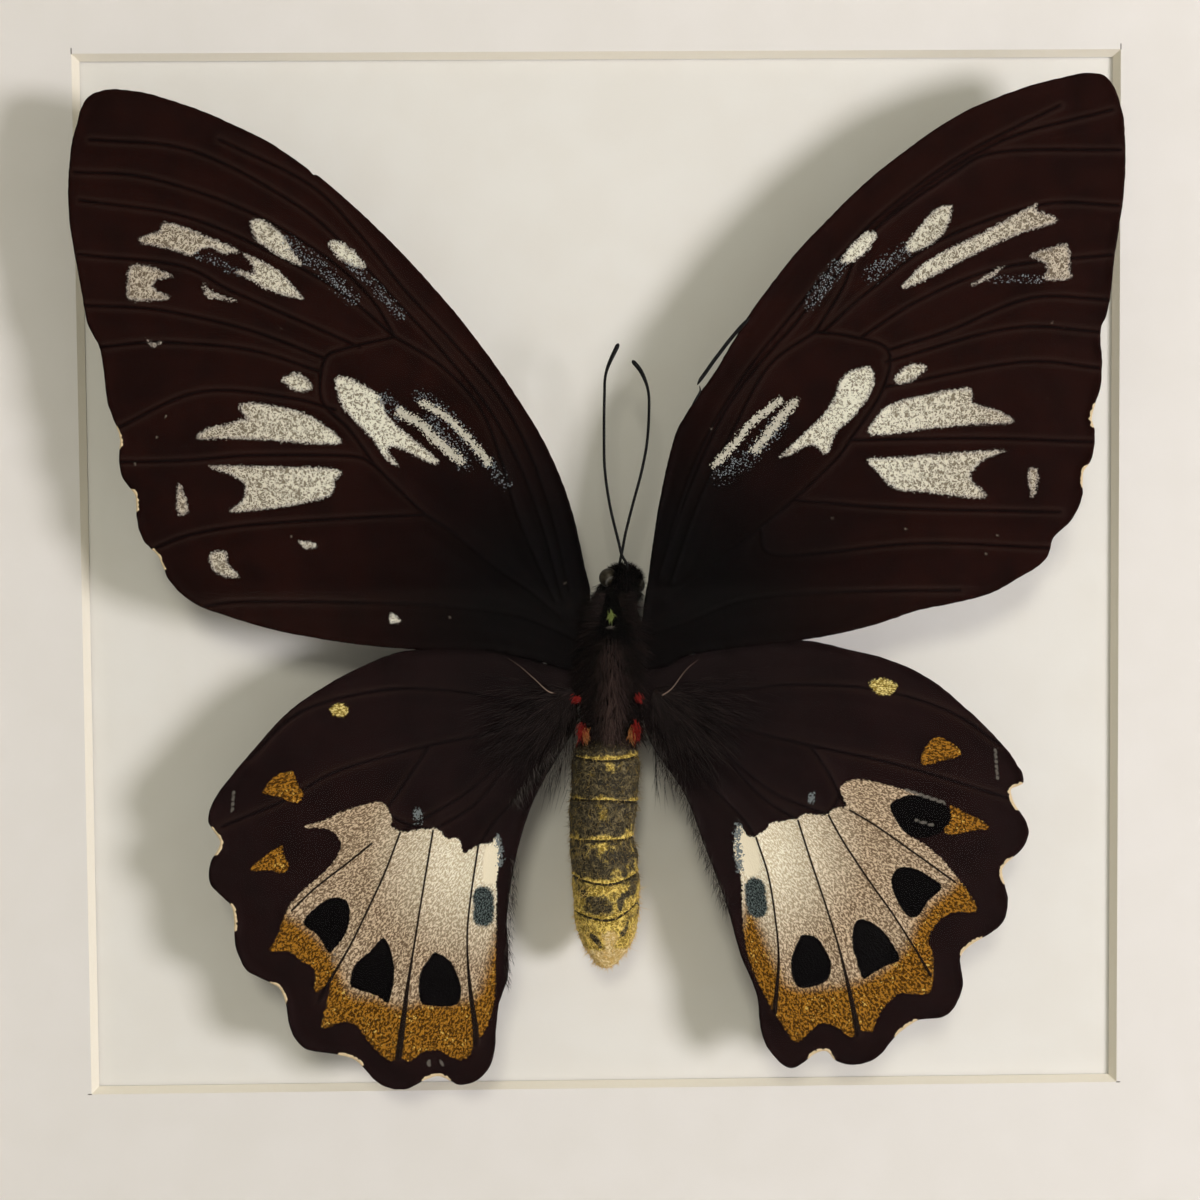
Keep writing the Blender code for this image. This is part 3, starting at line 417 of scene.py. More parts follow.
def distance_to(places, line, reach=FAR, closed=False):
    """Each place's distance from a line, up to reach."""
    line = np.asarray(line, float)
    if closed:
        line = np.vstack([line, line[:1]])
    found = np.full(len(places), reach)
    low, high = line.min(0) - reach, line.max(0) + reach
    near = np.flatnonzero(((places > low) & (places < high)).all(1))
    a, b = line[:-1], line[1:]
    run = b - a
    size = np.maximum((run**2).sum(1), 1e-12)
    for part in np.array_split(near, max(1, len(near) // 4000)):
        off = places[part, None] - a
        t = np.clip((off * run).sum(2) / size, 0, 1)
        gap = np.linalg.norm(off - t[..., None] * run, axis=2)
        found[part] = np.minimum(gap.min(1), reach)
    return found


def inside(places, outline):
    """True where a place lies within the closed outline."""
    a = np.asarray(outline, float)
    b = np.roll(a, -1, 0)
    found = np.zeros(len(places), bool)
    near = np.flatnonzero(((places >= a.min(0)) & (places <= a.max(0))).all(1))
    for part in np.array_split(near, max(1, len(near) // 4000)):
        x, y = places[part, 0, None], places[part, 1, None]
        crosses = (a[:, 1] > y) != (b[:, 1] > y)
        rise = np.where(b[:, 1] == a[:, 1], 1e-9, b[:, 1] - a[:, 1])
        at = a[:, 0] + (y - a[:, 1]) / rise * (b[:, 0] - a[:, 0])
        found[part] = (crosses & (x < at)).sum(1) % 2 == 1
    return found


def depth_in(places, outlines):
    """How far each place lies within any of the outlines; below zero outside them."""
    deepest = np.full(len(places), -FAR)
    for outline in outlines:
        edge = smooth(outline, closed=True, steps=4)
        gap = distance_to(places, edge, closed=True)
        deepest = np.maximum(deepest, np.where(inside(places, edge), gap, -gap))
    return deepest


def nearest(places, lines):
    """Distance to the nearest of several smoothed lines."""
    found = np.full(len(places), FAR)
    for line in lines:
        found = np.minimum(found, distance_to(places, smooth(line)))
    return found


def streaks(places, lines):
    """1 along the middle of each streak, falling to 0 at its width."""
    found = np.zeros(len(places))
    for width, line in lines:
        found = np.maximum(found, 1 - distance_to(places, smooth(line)) / width)
    return found


def spots(places, centres, radius):
    """1 at each centre, falling to 0 at the radius."""
    found = np.zeros(len(places))
    for centre in centres:
        found = np.maximum(found, 1 - np.linalg.norm(places - centre, axis=1) / radius)
    return found


def bell(value, width):
    """1 at zero, falling off smoothly to each side over the width."""
    return np.exp(-(value / width) ** 2)


def softened(widths, reach):
    """Widths averaged with their neighbours, up to reach away on each side."""
    count = 2 * reach + 1
    return np.convolve(np.pad(widths, reach, mode="edge"), np.ones(count) / count, "valid")


def raised(flat, y):
    """Places in space from places on a wing, which are x and z, at depth y."""
    return np.stack([flat[:, 0], y, flat[:, 1]], 1)


def rise(value, low, high):
    """Smooth step from 0 at low to 1 at high."""
    t = np.clip((value - low) / (high - low), 0, 1)
    return t * t * (3 - 2 * t)


def rumple(places, size, seed):
    """Smooth noise, about -1 to 1, with features of that size in mm."""
    lift = Vector((seed * 17.3, seed * 5.1, seed * 9.7))
    flat = np.zeros((len(places), 3))
    flat[:, :places.shape[1]] = places
    return np.array([noise.noise(Vector(p) / size + lift) for p in flat])


# ---------------------------------------------------------------- meshes

def build(name, points, faces, material, shade=True, values=None):
    """A mesh object from points in mm and an array of triangles."""
    mesh = bpy.data.meshes.new(name)
    faces = np.asarray(faces, np.int32)
    mesh.vertices.add(len(points))
    mesh.vertices.foreach_set("co", (np.asarray(points) * MM).astype(np.float32).ravel())
    mesh.loops.add(faces.size)
    mesh.loops.foreach_set("vertex_index", faces.ravel())
    mesh.polygons.add(len(faces))
    starts = np.arange(len(faces), dtype=np.int32) * faces.shape[1]
    mesh.polygons.foreach_set("loop_start", starts)
    mesh.update(calc_edges=True)
    mesh.validate()
    if shade:
        mesh.shade_smooth()
    for key, numbers in (values or {}).items():
        layer = mesh.attributes.new(key, "FLOAT", "POINT")
        layer.data.foreach_set("value", np.asarray(numbers, np.float32))
    mesh.materials.append(material)
    made = bpy.data.objects.new(name, mesh)
    bpy.context.scene.collection.objects.link(made)
    made.location = MIDDLE
    return made


def ring_faces(rings, sides):
    """Triangles between rings of sides points each and over both ends."""
    k = np.arange(rings - 1)[:, None] * sides
    s = np.arange(sides)[None]
    a, b = k + s, k + (s + 1) % sides
    c, d = b + sides, a + sides
    walls = [np.stack([a, b, c], 2).reshape(-1, 3), np.stack([a, c, d], 2).reshape(-1, 3)]
    first = [[0, i + 1, i] for i in range(1, sides - 1)]
    start = (rings - 1) * sides
    last = [[start, start + i, start + i + 1] for i in range(1, sides - 1)]
    return np.vstack([*walls, first, last])


def tube(path, radii, sides):
    """Points and triangles of a round rod along a path."""
    path = np.asarray(path, float)
    along = np.gradient(path, axis=0)
    along /= np.linalg.norm(along, axis=1)[:, None]
    side = np.cross(along, (0.0, 1.0, 0.0))
    weak = np.linalg.norm(side, axis=1) < 0.05
    side[weak] = np.cross(along[weak], (1.0, 0.0, 0.0))
    side /= np.linalg.norm(side, axis=1)[:, None]
    up = np.cross(along, side)
    turn = 2 * math.pi * np.arange(sides) / sides
    radii = np.broadcast_to(np.asarray(radii, float), (len(path),))
    ring = np.cos(turn)[None, :, None] * side[:, None] + np.sin(turn)[None, :, None] * up[:, None]
    points = path[:, None] + radii[:, None, None] * ring
    return points.reshape(-1, 3), ring_faces(len(path), sides)


def joined(shapes):
    """Several (points, triangles) as one."""
    points, faces, start = [], [], 0
    for p, f in shapes:
        points.append(p)
        faces.append(np.asarray(f) + start)
        start += len(p)
    return np.vstack(points), np.vstack(faces)


def unit(vectors):
    """The same directions with length 1."""
    return vectors / np.maximum(np.linalg.norm(vectors, axis=1, keepdims=True), 1e-9)


def strands(roots, headings, lengths, radius, droop):
    """Tapered three-sided hairs that leave their roots along headings and bend by droop."""
    count = len(roots)
    side = unit(np.cross(headings, np.roll(headings, 1, axis=1) + (0.1, 0.7, 0.3)))
    up = np.cross(headings, side)
    shares = np.arange(HAIR_RINGS + 1) / HAIR_RINGS
    lengths = lengths[:, None]
    centres = [roots + lengths * (s * headings + s * s * droop) for s in shares]
    points = np.empty((count, HAIR_POINTS, 3))
    for ring in range(HAIR_RINGS):
        width = radius * (1 - 0.75 * shares[ring])
        for corner in range(3):
            a = 2 * math.pi * corner / 3
            points[:, ring * 3 + corner] = (
                centres[ring] + width * (math.cos(a) * side + math.sin(a) * up)
            )
    points[:, -1] = centres[-1]
    one = [[0, 2, 1]]
    for ring in range(HAIR_RINGS - 1):
        for corner in range(3):
            a, b = ring * 3 + corner, ring * 3 + (corner + 1) % 3
            one += [[a, b, b + 3], [a, b + 3, a + 3]]
    tip = HAIR_POINTS - 1
    one += [[tip - 3 + c, tip - 3 + (c + 1) % 3, tip] for c in range(3)]
    faces = np.array(one)[None] + (np.arange(count) * HAIR_POINTS)[:, None, None]
    return points.reshape(-1, 3), faces.reshape(-1, 3)


def per_hair(values):
    """Repeats one value a hair over that hair's points."""
    return np.repeat(values, HAIR_POINTS)


# ---------------------------------------------------------------- materials

class Shader:
    """One procedural material. Coordinates are in mm."""

    def __init__(self, name):
        self.material = bpy.data.materials.new(name)
        self.material.use_nodes = True
        self.tree = self.material.node_tree
        self.tree.nodes.clear()
        self.output = self.tree.nodes.new("ShaderNodeOutputMaterial")
        self.bsdf = self.tree.nodes.new("ShaderNodeBsdfPrincipled")
        self.tree.links.new(self.bsdf.outputs[0], self.output.inputs["Surface"])
        coords = self.tree.nodes.new("ShaderNodeTexCoord")
        self.place = self.vector("SCALE", coords.outputs["Object"], scale=1 / MM)

    def put(self, socket, value):
        """Links another node's output to a socket, or sets the socket's value."""
        if isinstance(value, bpy.types.NodeSocket):
            self.tree.links.new(value, socket)
        elif isinstance(value, tuple) and len(value) == 3 and socket.type == "RGBA":
            socket.default_value = (*value, 1)
        else:
            socket.default_value = value

    def vector(self, operation, a, b=None, scale=None):
        """Arithmetic on vectors."""
        node = self.tree.nodes.new("ShaderNodeVectorMath")
        node.operation = operation
        self.put(node.inputs[0], a)
        if b is not None:
            self.put(node.inputs[1], b)
        if scale is not None:
            self.put(node.inputs["Scale"], scale)
        return node.outputs[0]

    def math(self, operation, a, b=None, clamp=False):
        """Arithmetic on numbers."""
        node = self.tree.nodes.new("ShaderNodeMath")
        node.operation = operation
        node.use_clamp = clamp
        self.put(node.inputs[0], a)
        if b is not None:
            self.put(node.inputs[1], b)
        return node.outputs[0]

    def step(self, value, low, high, start=0.0, end=1.0):
        """Smooth step of value from start at low to end at high."""
        node = self.tree.nodes.new("ShaderNodeMapRange")
        node.interpolation_type = "SMOOTHSTEP"
        for key, number in zip(("Value", "From Min", "From Max", "To Min", "To Max"),
                               (value, low, high, start, end)):
            self.put(node.inputs[key], number)
        return node.outputs[0]

    def noise(self, size, detail=2.0, rough=0.5, warp=0.0, at=None):
        """Noise with features of that size in mm."""
        node = self.tree.nodes.new("ShaderNodeTexNoise")
        self.put(node.inputs["Vector"], at or self.place)
        node.inputs["Scale"].default_value = 1 / size
        node.inputs["Detail"].default_value = detail
        node.inputs["Roughness"].default_value = rough
        node.inputs["Distortion"].default_value = warp
        return node.outputs[0]

    def cells(self, size, at=None, colour=False):
        """Cells of that size in mm: distance to the middle, or one colour a cell."""
        node = self.tree.nodes.new("ShaderNodeTexVoronoi")
        self.put(node.inputs["Vector"], at or self.place)
        node.inputs["Scale"].default_value = 1 / size
        return node.outputs["Color" if colour else "Distance"]

    def stretched(self, factors, shift=(0.0, 0.0, 0.0), at=None):
        """The place, scaled by a factor each way and shifted."""
        node = self.tree.nodes.new("ShaderNodeMapping")
        self.put(node.inputs["Vector"], at or self.place)
        node.inputs["Scale"].default_value = factors
        node.inputs["Location"].default_value = shift
        return node.outputs[0]

    def value(self, name):
        """A number stored at each of the mesh's points."""
        node = self.tree.nodes.new("ShaderNodeAttribute")
        node.attribute_name = name
        return node.outputs["Fac"]

    def torn(self, name, jag, share):
        """A stored number whose edges are made ragged by a share of the noise jag."""
        return self.math("ADD", self.value(name), self.math("MULTIPLY", jag, share))

    def split(self, vector):
        """A vector's x, y and z."""
        node = self.tree.nodes.new("ShaderNodeSeparateXYZ")
        self.put(node.inputs[0], vector)
        return node.outputs

    def join(self, x, y, z):
        """A vector from its x, y and z."""
        node = self.tree.nodes.new("ShaderNodeCombineXYZ")
        for socket, number in zip(node.inputs, (x, y, z)):
            self.put(socket, number)
        return node.outputs[0]

    def facing(self):
        """The surface's own normal in the frame's axes."""
        node = self.tree.nodes.new("ShaderNodeNewGeometry")
        return self.split(node.outputs["Normal"])

    def mix(self, share, a, b):
        """Colour a, turning to b as share goes from 0 to 1."""
        node = self.tree.nodes.new("ShaderNodeMix")
        node.data_type = "RGBA"
        self.put(node.inputs[0], share)
        self.put(node.inputs[6], a)
        self.put(node.inputs[7], b)
        return node.outputs[2]

    def worms(self, size, width, shift=0.0):
        """Short curling lines, like loose scales, about size apart: 1 on a line."""
        moved = self.stretched((1, 1, 1), (shift, shift * 0.7, shift * 1.3))
        level = self.math("SUBTRACT", self.noise(size, 1.0, 0.5, 0.7, moved), 0.5)
        return self.step(self.math("ABSOLUTE", level), width, width * 0.25)

    def finish(self, colour, rough, bump=None, deep=0.05, strength=1.0, **settings):
        """Sets the surface; deep is the bump's height in mm."""
        self.put(self.bsdf.inputs["Base Color"], colour)
        self.put(self.bsdf.inputs["Roughness"], rough)
        for key, number in settings.items():
            self.bsdf.inputs[key.replace("_", " ")].default_value = number
        if bump is not None:
            node = self.tree.nodes.new("ShaderNodeBump")
            node.inputs["Strength"].default_value = strength
            node.inputs["Distance"].default_value = deep * MM
            self.put(node.inputs["Height"], bump)
            self.tree.links.new(node.outputs[0], self.bsdf.inputs["Normal"])
        return self.material


def paper_material(name, colour, shade, cut_edge=False):
    """Matt board: faint felt marks and mottling; the mat also has its cut edge, and slits painted dark as
    the shade inside them.
    """
    sh = Shader(name)
    mottle = sh.noise(9.0, 3.0, 0.6)
    felt = sh.noise(0.55, 3.0, 0.65)
    tint = sh.mix(sh.step(mottle, 0.3, 0.7), shade, colour)
    if cut_edge:
        core = sh.mix(sh.noise(0.3, 2.0), (0.86, 0.78, 0.63), (0.92, 0.87, 0.76))
        flat = sh.step(sh.math("ABSOLUTE", sh.facing()[1]), 0.99, 0.9)
        x, _, z = sh.split(sh.vector("SUBTRACT", sh.place, tuple(MIDDLE / MM)))
        x = sh.math("ABSOLUTE", x)
        within = sh.math("MAXIMUM", x, sh.math("ABSOLUTE", z))
        near = sh.step(within, WINDOW_HALF + 0.6, WINDOW_HALF + 0.3)
        tint = sh.mix(sh.math("MULTIPLY", flat, near), tint, core)
        # Painted shade: the overcut slits are dark lines of colour standing in for the shadow inside the
        # cuts.
        tint = sh.mix(painted_slit_shade(sh, x, z), tint, (0.12, 0.1, 0.08))
    return sh.finish(tint, 0.85, felt, 0.02, 0.5, **MATT)


def painted_slit_shade(sh, x, z):
    """Where the mat cutter ran past the window's corners, as a mask for their painted shade; x counts
    from the middle.
    """
    past, wide = 0.9, 0.06

    def line(across, along, limit):
        off = sh.math("ABSOLUTE", sh.math("SUBTRACT", across, WINDOW_HALF))
        on = sh.step(off, wide * 1.6, wide)
        start = sh.step(along, WINDOW_HALF - 0.1, WINDOW_HALF)
        stop = sh.step(along, WINDOW_HALF + limit, WINDOW_HALF + limit - 0.2)
        return sh.math("MULTIPLY", on, sh.math("MULTIPLY", start, stop))

    top = line(x, z, past)
    bottom = line(sh.math("MULTIPLY", z, -1.0), x, 0.7 * past)
    return sh.math("MAXIMUM", top, bottom)


def wood_material(name, along_x):
    """Black-brown stained wood with open grain along the rail."""
    sh = Shader(name)
    run = (0.03, 1, 1) if along_x else (1, 1, 0.03)
    at = sh.stretched(run)
    broad = sh.noise(6.0, 4.0, 0.6, 0.6, at)
    fine = sh.noise(0.45, 3.0, 0.6, 0.2, at)
    pores = sh.step(sh.noise(0.35, 2.0, 0.5, 0.0, sh.stretched(run, (40.0, 3.0, 11.0))), 0.62, 0.7)
    tint = sh.mix(sh.step(broad, 0.3, 0.7), (0.016, 0.011, 0.009), (0.045, 0.03, 0.022))
    tint = sh.mix(sh.step(fine, 0.35, 0.75, 0.0, 0.6), tint, (0.026, 0.017, 0.013))
    tint = sh.mix(pores, tint, (0.006, 0.004, 0.004))
    height = sh.math("SUBTRACT", sh.math("MULTIPLY", fine, 0.5), pores)
    rough = sh.step(broad, 0.2, 0.8, 0.34, 0.5)
    return sh.finish(tint, rough, height, 0.05, 0.6, Coat_Weight=0.15, Coat_Roughness=0.35)


def glass_material():
    """Clear picture glass. A low index stands in for its coating against reflections, and
    lamps and soft light reach what lies behind it."""
    sh = Shader("picture_glass")
    wave = sh.noise(60.0, 1.0)
    sh.finish((0.99, 0.993, 0.99), 0.0, wave, 0.004, 0.2, IOR=1.1, Transmission_Weight=1.0)
    clear = sh.tree.nodes.new("ShaderNodeBsdfTransparent")
    clear.inputs[0].default_value = (0.985, 0.988, 0.985, 1)
    path = sh.tree.nodes.new("ShaderNodeLightPath")
    soft = sh.math("MAXIMUM", path.outputs["Is Shadow Ray"], path.outputs["Is Diffuse Ray"])
    choose = sh.tree.nodes.new("ShaderNodeMixShader")
    sh.tree.links.new(soft, choose.inputs[0])
    sh.tree.links.new(sh.bsdf.outputs[0], choose.inputs[1])
    sh.tree.links.new(clear.outputs[0], choose.inputs[2])
    sh.tree.links.new(choose.outputs[0], sh.output.inputs["Surface"])
    return sh.material


def hardboard_material():
    """Brown hardboard with tangled fibres."""
    sh = Shader("hardboard")
    fibres = sh.noise(0.8, 5.0, 0.75, 1.2)
    patch = sh.noise(22.0, 3.0)
    tint = sh.mix(sh.step(fibres, 0.3, 0.7), (0.12, 0.065, 0.032), (0.27, 0.165, 0.09))
    tint = sh.mix(sh.step(patch, 0.4, 0.7, 0.0, 0.2), tint, (0.33, 0.21, 0.12))
    return sh.finish(tint, 0.72, fibres, 0.12, 0.7)


def steel_material():
    """Zinc-plated steel with fine scratches."""
    sh = Shader("zinc_plated_steel")
    spangle = sh.noise(1.6, 3.0, 0.6)
    scratch = sh.noise(0.12, 2.0, 0.5, 0.0, sh.stretched((0.08, 1, 1)))
    tint = sh.mix(sh.step(spangle, 0.3, 0.7), (0.42, 0.42, 0.43), (0.66, 0.66, 0.65))
    rough = sh.step(scratch, 0.3, 0.8, 0.28, 0.5)
    return sh.finish(tint, rough, scratch, 0.01, 0.5, Metallic=1.0)


def foam_material():
    """White foam with small bubbles, painted darker in their hollows as shade."""
    sh = Shader("foam")
    bubbles = sh.cells(0.35)
    # Painted shade: each bubble is darker towards its middle, where its bump dips.
    tint = sh.mix(sh.step(bubbles, 0.1, 0.6), (0.62, 0.6, 0.55), (0.78, 0.76, 0.71))
    return sh.finish(tint, 0.9, bubbles, 0.08, 0.6, **MATT)


def horn_material():
    """Dark horny skin of legs, antennae and proboscis."""
    sh = Shader("horn")
    grain = sh.noise(0.18, 2.0)
    tint = sh.mix(sh.step(grain, 0.3, 0.7), (0.001, 0.001, 0.0012), (0.006, 0.005, 0.005))
    return sh.finish(tint, 0.5, grain, 0.02, 0.4, Specular_IOR_Level=0.08)


def floor_material():
    """Plain pale floor."""
    sh = Shader("pale_floor")
    cloud = sh.noise(160.0, 3.0)
    tint = sh.mix(sh.step(cloud, 0.3, 0.7), (0.585, 0.575, 0.555), (0.605, 0.595, 0.575))
    return sh.finish(tint, 0.8, sh.noise(1.5, 2.0), 0.05, 0.2, **MATT)


def wing_ground(sh, base, outer, black):
    """Dark scales: blacker at the base, browner towards the margin, with veins."""
    dust = sh.noise(0.16, 2.0, 0.6)
    cloud = sh.noise(5.0, 3.0, 0.6)
    tint = sh.mix(sh.value("reach"), base, outer)
    tint = sh.mix(sh.step(cloud, 0.35, 0.7, 0.0, 0.45), tint, black)
    tint = sh.mix(sh.step(dust, 0.52, 0.75, 0.0, 0.6), tint, outer)
    vein = sh.value("vein")
    flank = sh.math("MULTIPLY", sh.step(vein, 0.2, 0.45), sh.step(vein, 1.1, 0.45))
    lighter = sh.mix(sh.value("reach"), base, (0.03, 0.016, 0.012))
    tint = sh.mix(sh.math("MULTIPLY", flank, 0.35), tint, lighter)
    tint = sh.mix(sh.step(vein, 0.24, 0.1, 0.0, 0.7), tint, black)
    return tint, dust


def scattered(sh, amount, size=0.22, shift=0.0):
    """Single loose scales, more of them where amount is higher."""
    grains = sh.cells(size, sh.stretched((1, 1, 1), (shift, shift, shift)), colour=True)
    chance = sh.split(grains)[0]
    return sh.step(sh.math("SUBTRACT", amount, chance), 0.0, 0.04)


def forewing_material():
    """Dark scales, ivory patches, blue-grey dust, worn streaks and specks."""
    sh = Shader("forewing_scales")
    tint, dust = wing_ground(
        sh, (0.0005, 0.0004, 0.0005), (0.0125, 0.003, 0.002), (0.0012, 0.0007, 0.0007))
    jag = sh.math("MULTIPLY", sh.math("SUBTRACT", sh.noise(0.3, 3.0, 0.75), 0.5), 1.7)
    ivory = sh.math("ADD", sh.value("ivory"), jag)
    full = sh.value("full")
    lines = sh.math("MAXIMUM", sh.worms(0.75, 0.06, 0.0), sh.worms(0.6, 0.05, 31.0))
    fuller = sh.math("MULTIPLY", full, 0.34)
    dense = sh.step(sh.noise(0.42, 1.0, 0.5, 0.5), sh.math("SUBTRACT", 0.74, fuller),
                    sh.math("SUBTRACT", 0.8, fuller))
    scale = sh.math("MAXIMUM", lines, dense)
    under = sh.mix(full, (0.13, 0.092, 0.06), (0.3, 0.265, 0.19))
    bright = sh.mix(full, (0.56, 0.47, 0.36), (0.86, 0.85, 0.7))
    patch = sh.mix(scale, under, bright)
    rim = sh.step(ivory, 0.5, 0.1, 0.0, 0.5)
    patch = sh.mix(rim, patch, (0.3, 0.27, 0.25))
    tint = sh.mix(sh.step(ivory, -0.06, 0.1), tint, patch)
    loose = scattered(sh, sh.math("MULTIPLY", sh.value("dust"), 0.26), 0.14, 3.0)
    tint = sh.mix(loose, tint, (0.2, 0.225, 0.24))
    worn = sh.step(sh.torn("streak", jag, 0.6), 0.0, 1.0)
    worn = sh.math("MULTIPLY", worn, sh.step(sh.value("streak"), 0.0, 0.3))
    worn = scattered(sh, worn, 0.2, 9.0)
    tint = sh.mix(worn, tint, sh.mix(sh.noise(0.5), (0.3, 0.27, 0.2), (0.7, 0.66, 0.55)))
    speck = sh.math("ADD", sh.math("MULTIPLY", jag, 2.0), 1.0)
    speck = sh.math("MULTIPLY", sh.value("speck"), speck)
    tint = sh.mix(sh.step(speck, 0.6, 0.8), tint, (0.17, 0.14, 0.11))
    litter = scattered(sh, 0.0012, 0.25, 21.0)
    tint = sh.mix(litter, tint, (0.25, 0.22, 0.19))
    tint = chipped(sh, tint)
    height = sh.math("ADD", dust, sh.math("MULTIPLY", scale, sh.step(ivory, 0.0, 0.2)))
    return sh.finish(tint, 0.62, height, 0.03, 0.55, **MATT)


def chipped(sh, tint):
    """Cream fringe scales left in the notches of the margin."""
    chip = sh.torn("chip", sh.noise(0.5, 2.0), 0.5)
    return sh.mix(sh.step(chip, 0.75, 0.9), tint, (0.7, 0.54, 0.33))


def hindwing_material():
    """Dark scales, pale field with black veins, gold, black and yellow spots."""
    sh = Shader("hindwing_scales")
    tint, dust = wing_ground(
        sh, (0.0075, 0.0042, 0.0042), (0.011, 0.0042, 0.004), (0.0025, 0.0014, 0.0015))
    flow = sh.join(sh.value("along"), sh.value("across"), 0.0)
    fleck = sh.noise(0.36, 1.5, 0.6, 0.5, sh.stretched((0.7, 1.4, 1), (0, 0, 0), flow))
    fine_fleck = sh.noise(0.22, 1.0, 0.5, 0.3, sh.stretched((0.7, 1.2, 1), (13, 7, 0), flow))
    bright = sh.math("ADD", sh.math("MULTIPLY", fleck, 0.6), sh.math("MULTIPLY", fine_fleck, 0.4))
    bright = sh.step(bright, 0.45, 0.58)
    jag = sh.math("MULTIPLY", sh.math("SUBTRACT", sh.noise(0.4, 2.0, 0.7), 0.5), 0.9)
    pale = sh.math("ADD", sh.value("pale"), jag)
    cream = sh.value("cream")
    low = sh.mix(cream, (0.1, 0.05, 0.024), (0.6, 0.49, 0.32))
    high = sh.mix(cream, (0.58, 0.42, 0.26), (0.93, 0.87, 0.7))
    pale_tint = sh.mix(bright, low, high)
    gold = sh.mix(bright, (0.06, 0.024, 0.003), (0.37, 0.165, 0.017))
    glint = scattered(sh, sh.step(sh.noise(1.6, 2.0), 0.45, 0.75, 0.01, 0.14), 0.2, 5.0)
    gold = sh.mix(glint, gold, (0.62, 0.42, 0.1))
    share = sh.step(sh.torn("gold", jag, 1.6), -1.2, 1.3)
    field = sh.mix(share, pale_tint, gold)
    field = sh.mix(sh.step(sh.value("strip"), -0.2, 0.4), field, (0.86, 0.76, 0.56))
    edge = sh.value("border")
    field = sh.mix(sh.step(edge, 0.2, 0.08), field, (0.012, 0.007, 0.005))
    tint = sh.mix(sh.step(pale, -0.05, 0.12), tint, field)
    spot = sh.torn("spot", jag, 0.5)
    tint = sh.mix(sh.step(spot, -0.1, 0.06), tint, (0.001, 0.0006, 0.0007))
    gold_spot = sh.torn("gold_spot", jag, 0.8)
    tint = sh.mix(sh.step(gold_spot, -0.05, 0.12), tint, gold)
    yellow = sh.torn("yellow", jag, 1.3)
    yellow_tint = sh.mix(bright, (0.2, 0.13, 0.015), (0.8, 0.66, 0.25))
    tint = sh.mix(sh.step(yellow, -0.1, 0.15), tint, yellow_tint)
    loose = scattered(sh, sh.value("dust"), 0.2, 3.0)
    tint = sh.mix(loose, tint, (0.16, 0.18, 0.18))
    smudge = sh.torn("smudge", jag, 0.5)
    grime = sh.mix(sh.step(fine_fleck, 0.45, 0.6), (0.008, 0.01, 0.01), (0.1, 0.125, 0.12))
    tint = sh.mix(sh.step(smudge, 0.1, 0.35), tint, grime)
    tint = sh.mix(sh.step(sh.value("streak"), 0.1, 0.5, 0.0, 0.6), tint, (0.2, 0.18, 0.15))
    litter = scattered(sh, 0.0015, 0.22, 21.0)
    tint = sh.mix(litter, tint, (0.22, 0.2, 0.18))
    tint = chipped(sh, tint)
    height = sh.math("ADD", dust, sh.math("MULTIPLY", bright, sh.step(pale, 0.0, 0.2)))
    return sh.finish(tint, 0.6, height, 0.03, 0.55, **MATT)


def underside_material():
    """The wings' backs, turned to the board: the same browns, plain."""
    sh = Shader("wing_underside")
    dust = sh.noise(0.16, 2.0, 0.6)
    tint = sh.mix(sh.step(dust, 0.3, 0.7), (0.008, 0.005, 0.004), (0.022, 0.014, 0.01))
    return sh.finish(tint, 0.65, dust, 0.03, 0.5, **MATT)


def fur_material(name, dark, light, rough=0.6):
    """Hair whose colour varies from strand to strand by its stored tint."""
    sh = Shader(name)
    wave = sh.noise(0.5, 2.0)
    change = sh.math("MULTIPLY", sh.math("SUBTRACT", wave, 0.5), 0.3)
    share = sh.math("ADD", sh.value("tint"), change, clamp=True)
    return sh.finish(sh.mix(share, dark, light), rough, wave, 0.01, 0.2, Specular_IOR_Level=0.03)


def abdomen_material():
    """Olive-grey curled scales and yellow rims, with painted shade in the creases between the rings."""
    sh = Shader("abdomen_scales")
    curls = sh.math("MAXIMUM", sh.worms(0.9, 0.06), sh.worms(0.6, 0.045, 17.0))
    shade = sh.step(sh.noise(1.1, 3.0, 0.7), 0.35, 0.65, 0.25, 1.0)
    grain = sh.noise(0.25, 3.0, 0.7)
    cloud = sh.noise(1.8, 3.0, 0.65)
    grey = sh.mix(curls, (0.02, 0.015, 0.007), (0.17, 0.13, 0.06))
    yellow = sh.mix(curls, (0.26, 0.17, 0.02), (0.9, 0.66, 0.16))
    cream = sh.mix(curls, (0.6, 0.4, 0.13), (0.93, 0.73, 0.38))
    grey = sh.mix(shade, (0.012, 0.009, 0.004), grey)
    jag = sh.math("SUBTRACT", cloud, 0.5)
    share = sh.torn("yellow", jag, 2.4)
    tint = sh.mix(sh.step(share, 0.3, 0.8), grey, yellow)
    pale = sh.torn("cream", jag, 1.2)
    tint = sh.mix(sh.step(pale, 0.4, 0.8), tint, cream)
    fine = sh.math("ADD", sh.math("MULTIPLY", grain, 0.4), sh.math("MULTIPLY", cloud, 0.6))
    # Painted shade: near-black in the creases under each rim and where the abdomen meets the thorax.
    dark = sh.torn("crease_shade", sh.math("SUBTRACT", fine, 0.5), 1.4)
    tint = sh.mix(sh.step(dark, 0.55, 0.8), tint, (0.018, 0.012, 0.004))
    litter = scattered(sh, 0.006, 0.25, 2.0)
    tint = sh.mix(litter, tint, (0.75, 0.7, 0.6))
    height = sh.math("ADD", curls, grain)
    return sh.finish(tint, 0.7, height, 0.12, 0.8, Specular_IOR_Level=0.2)


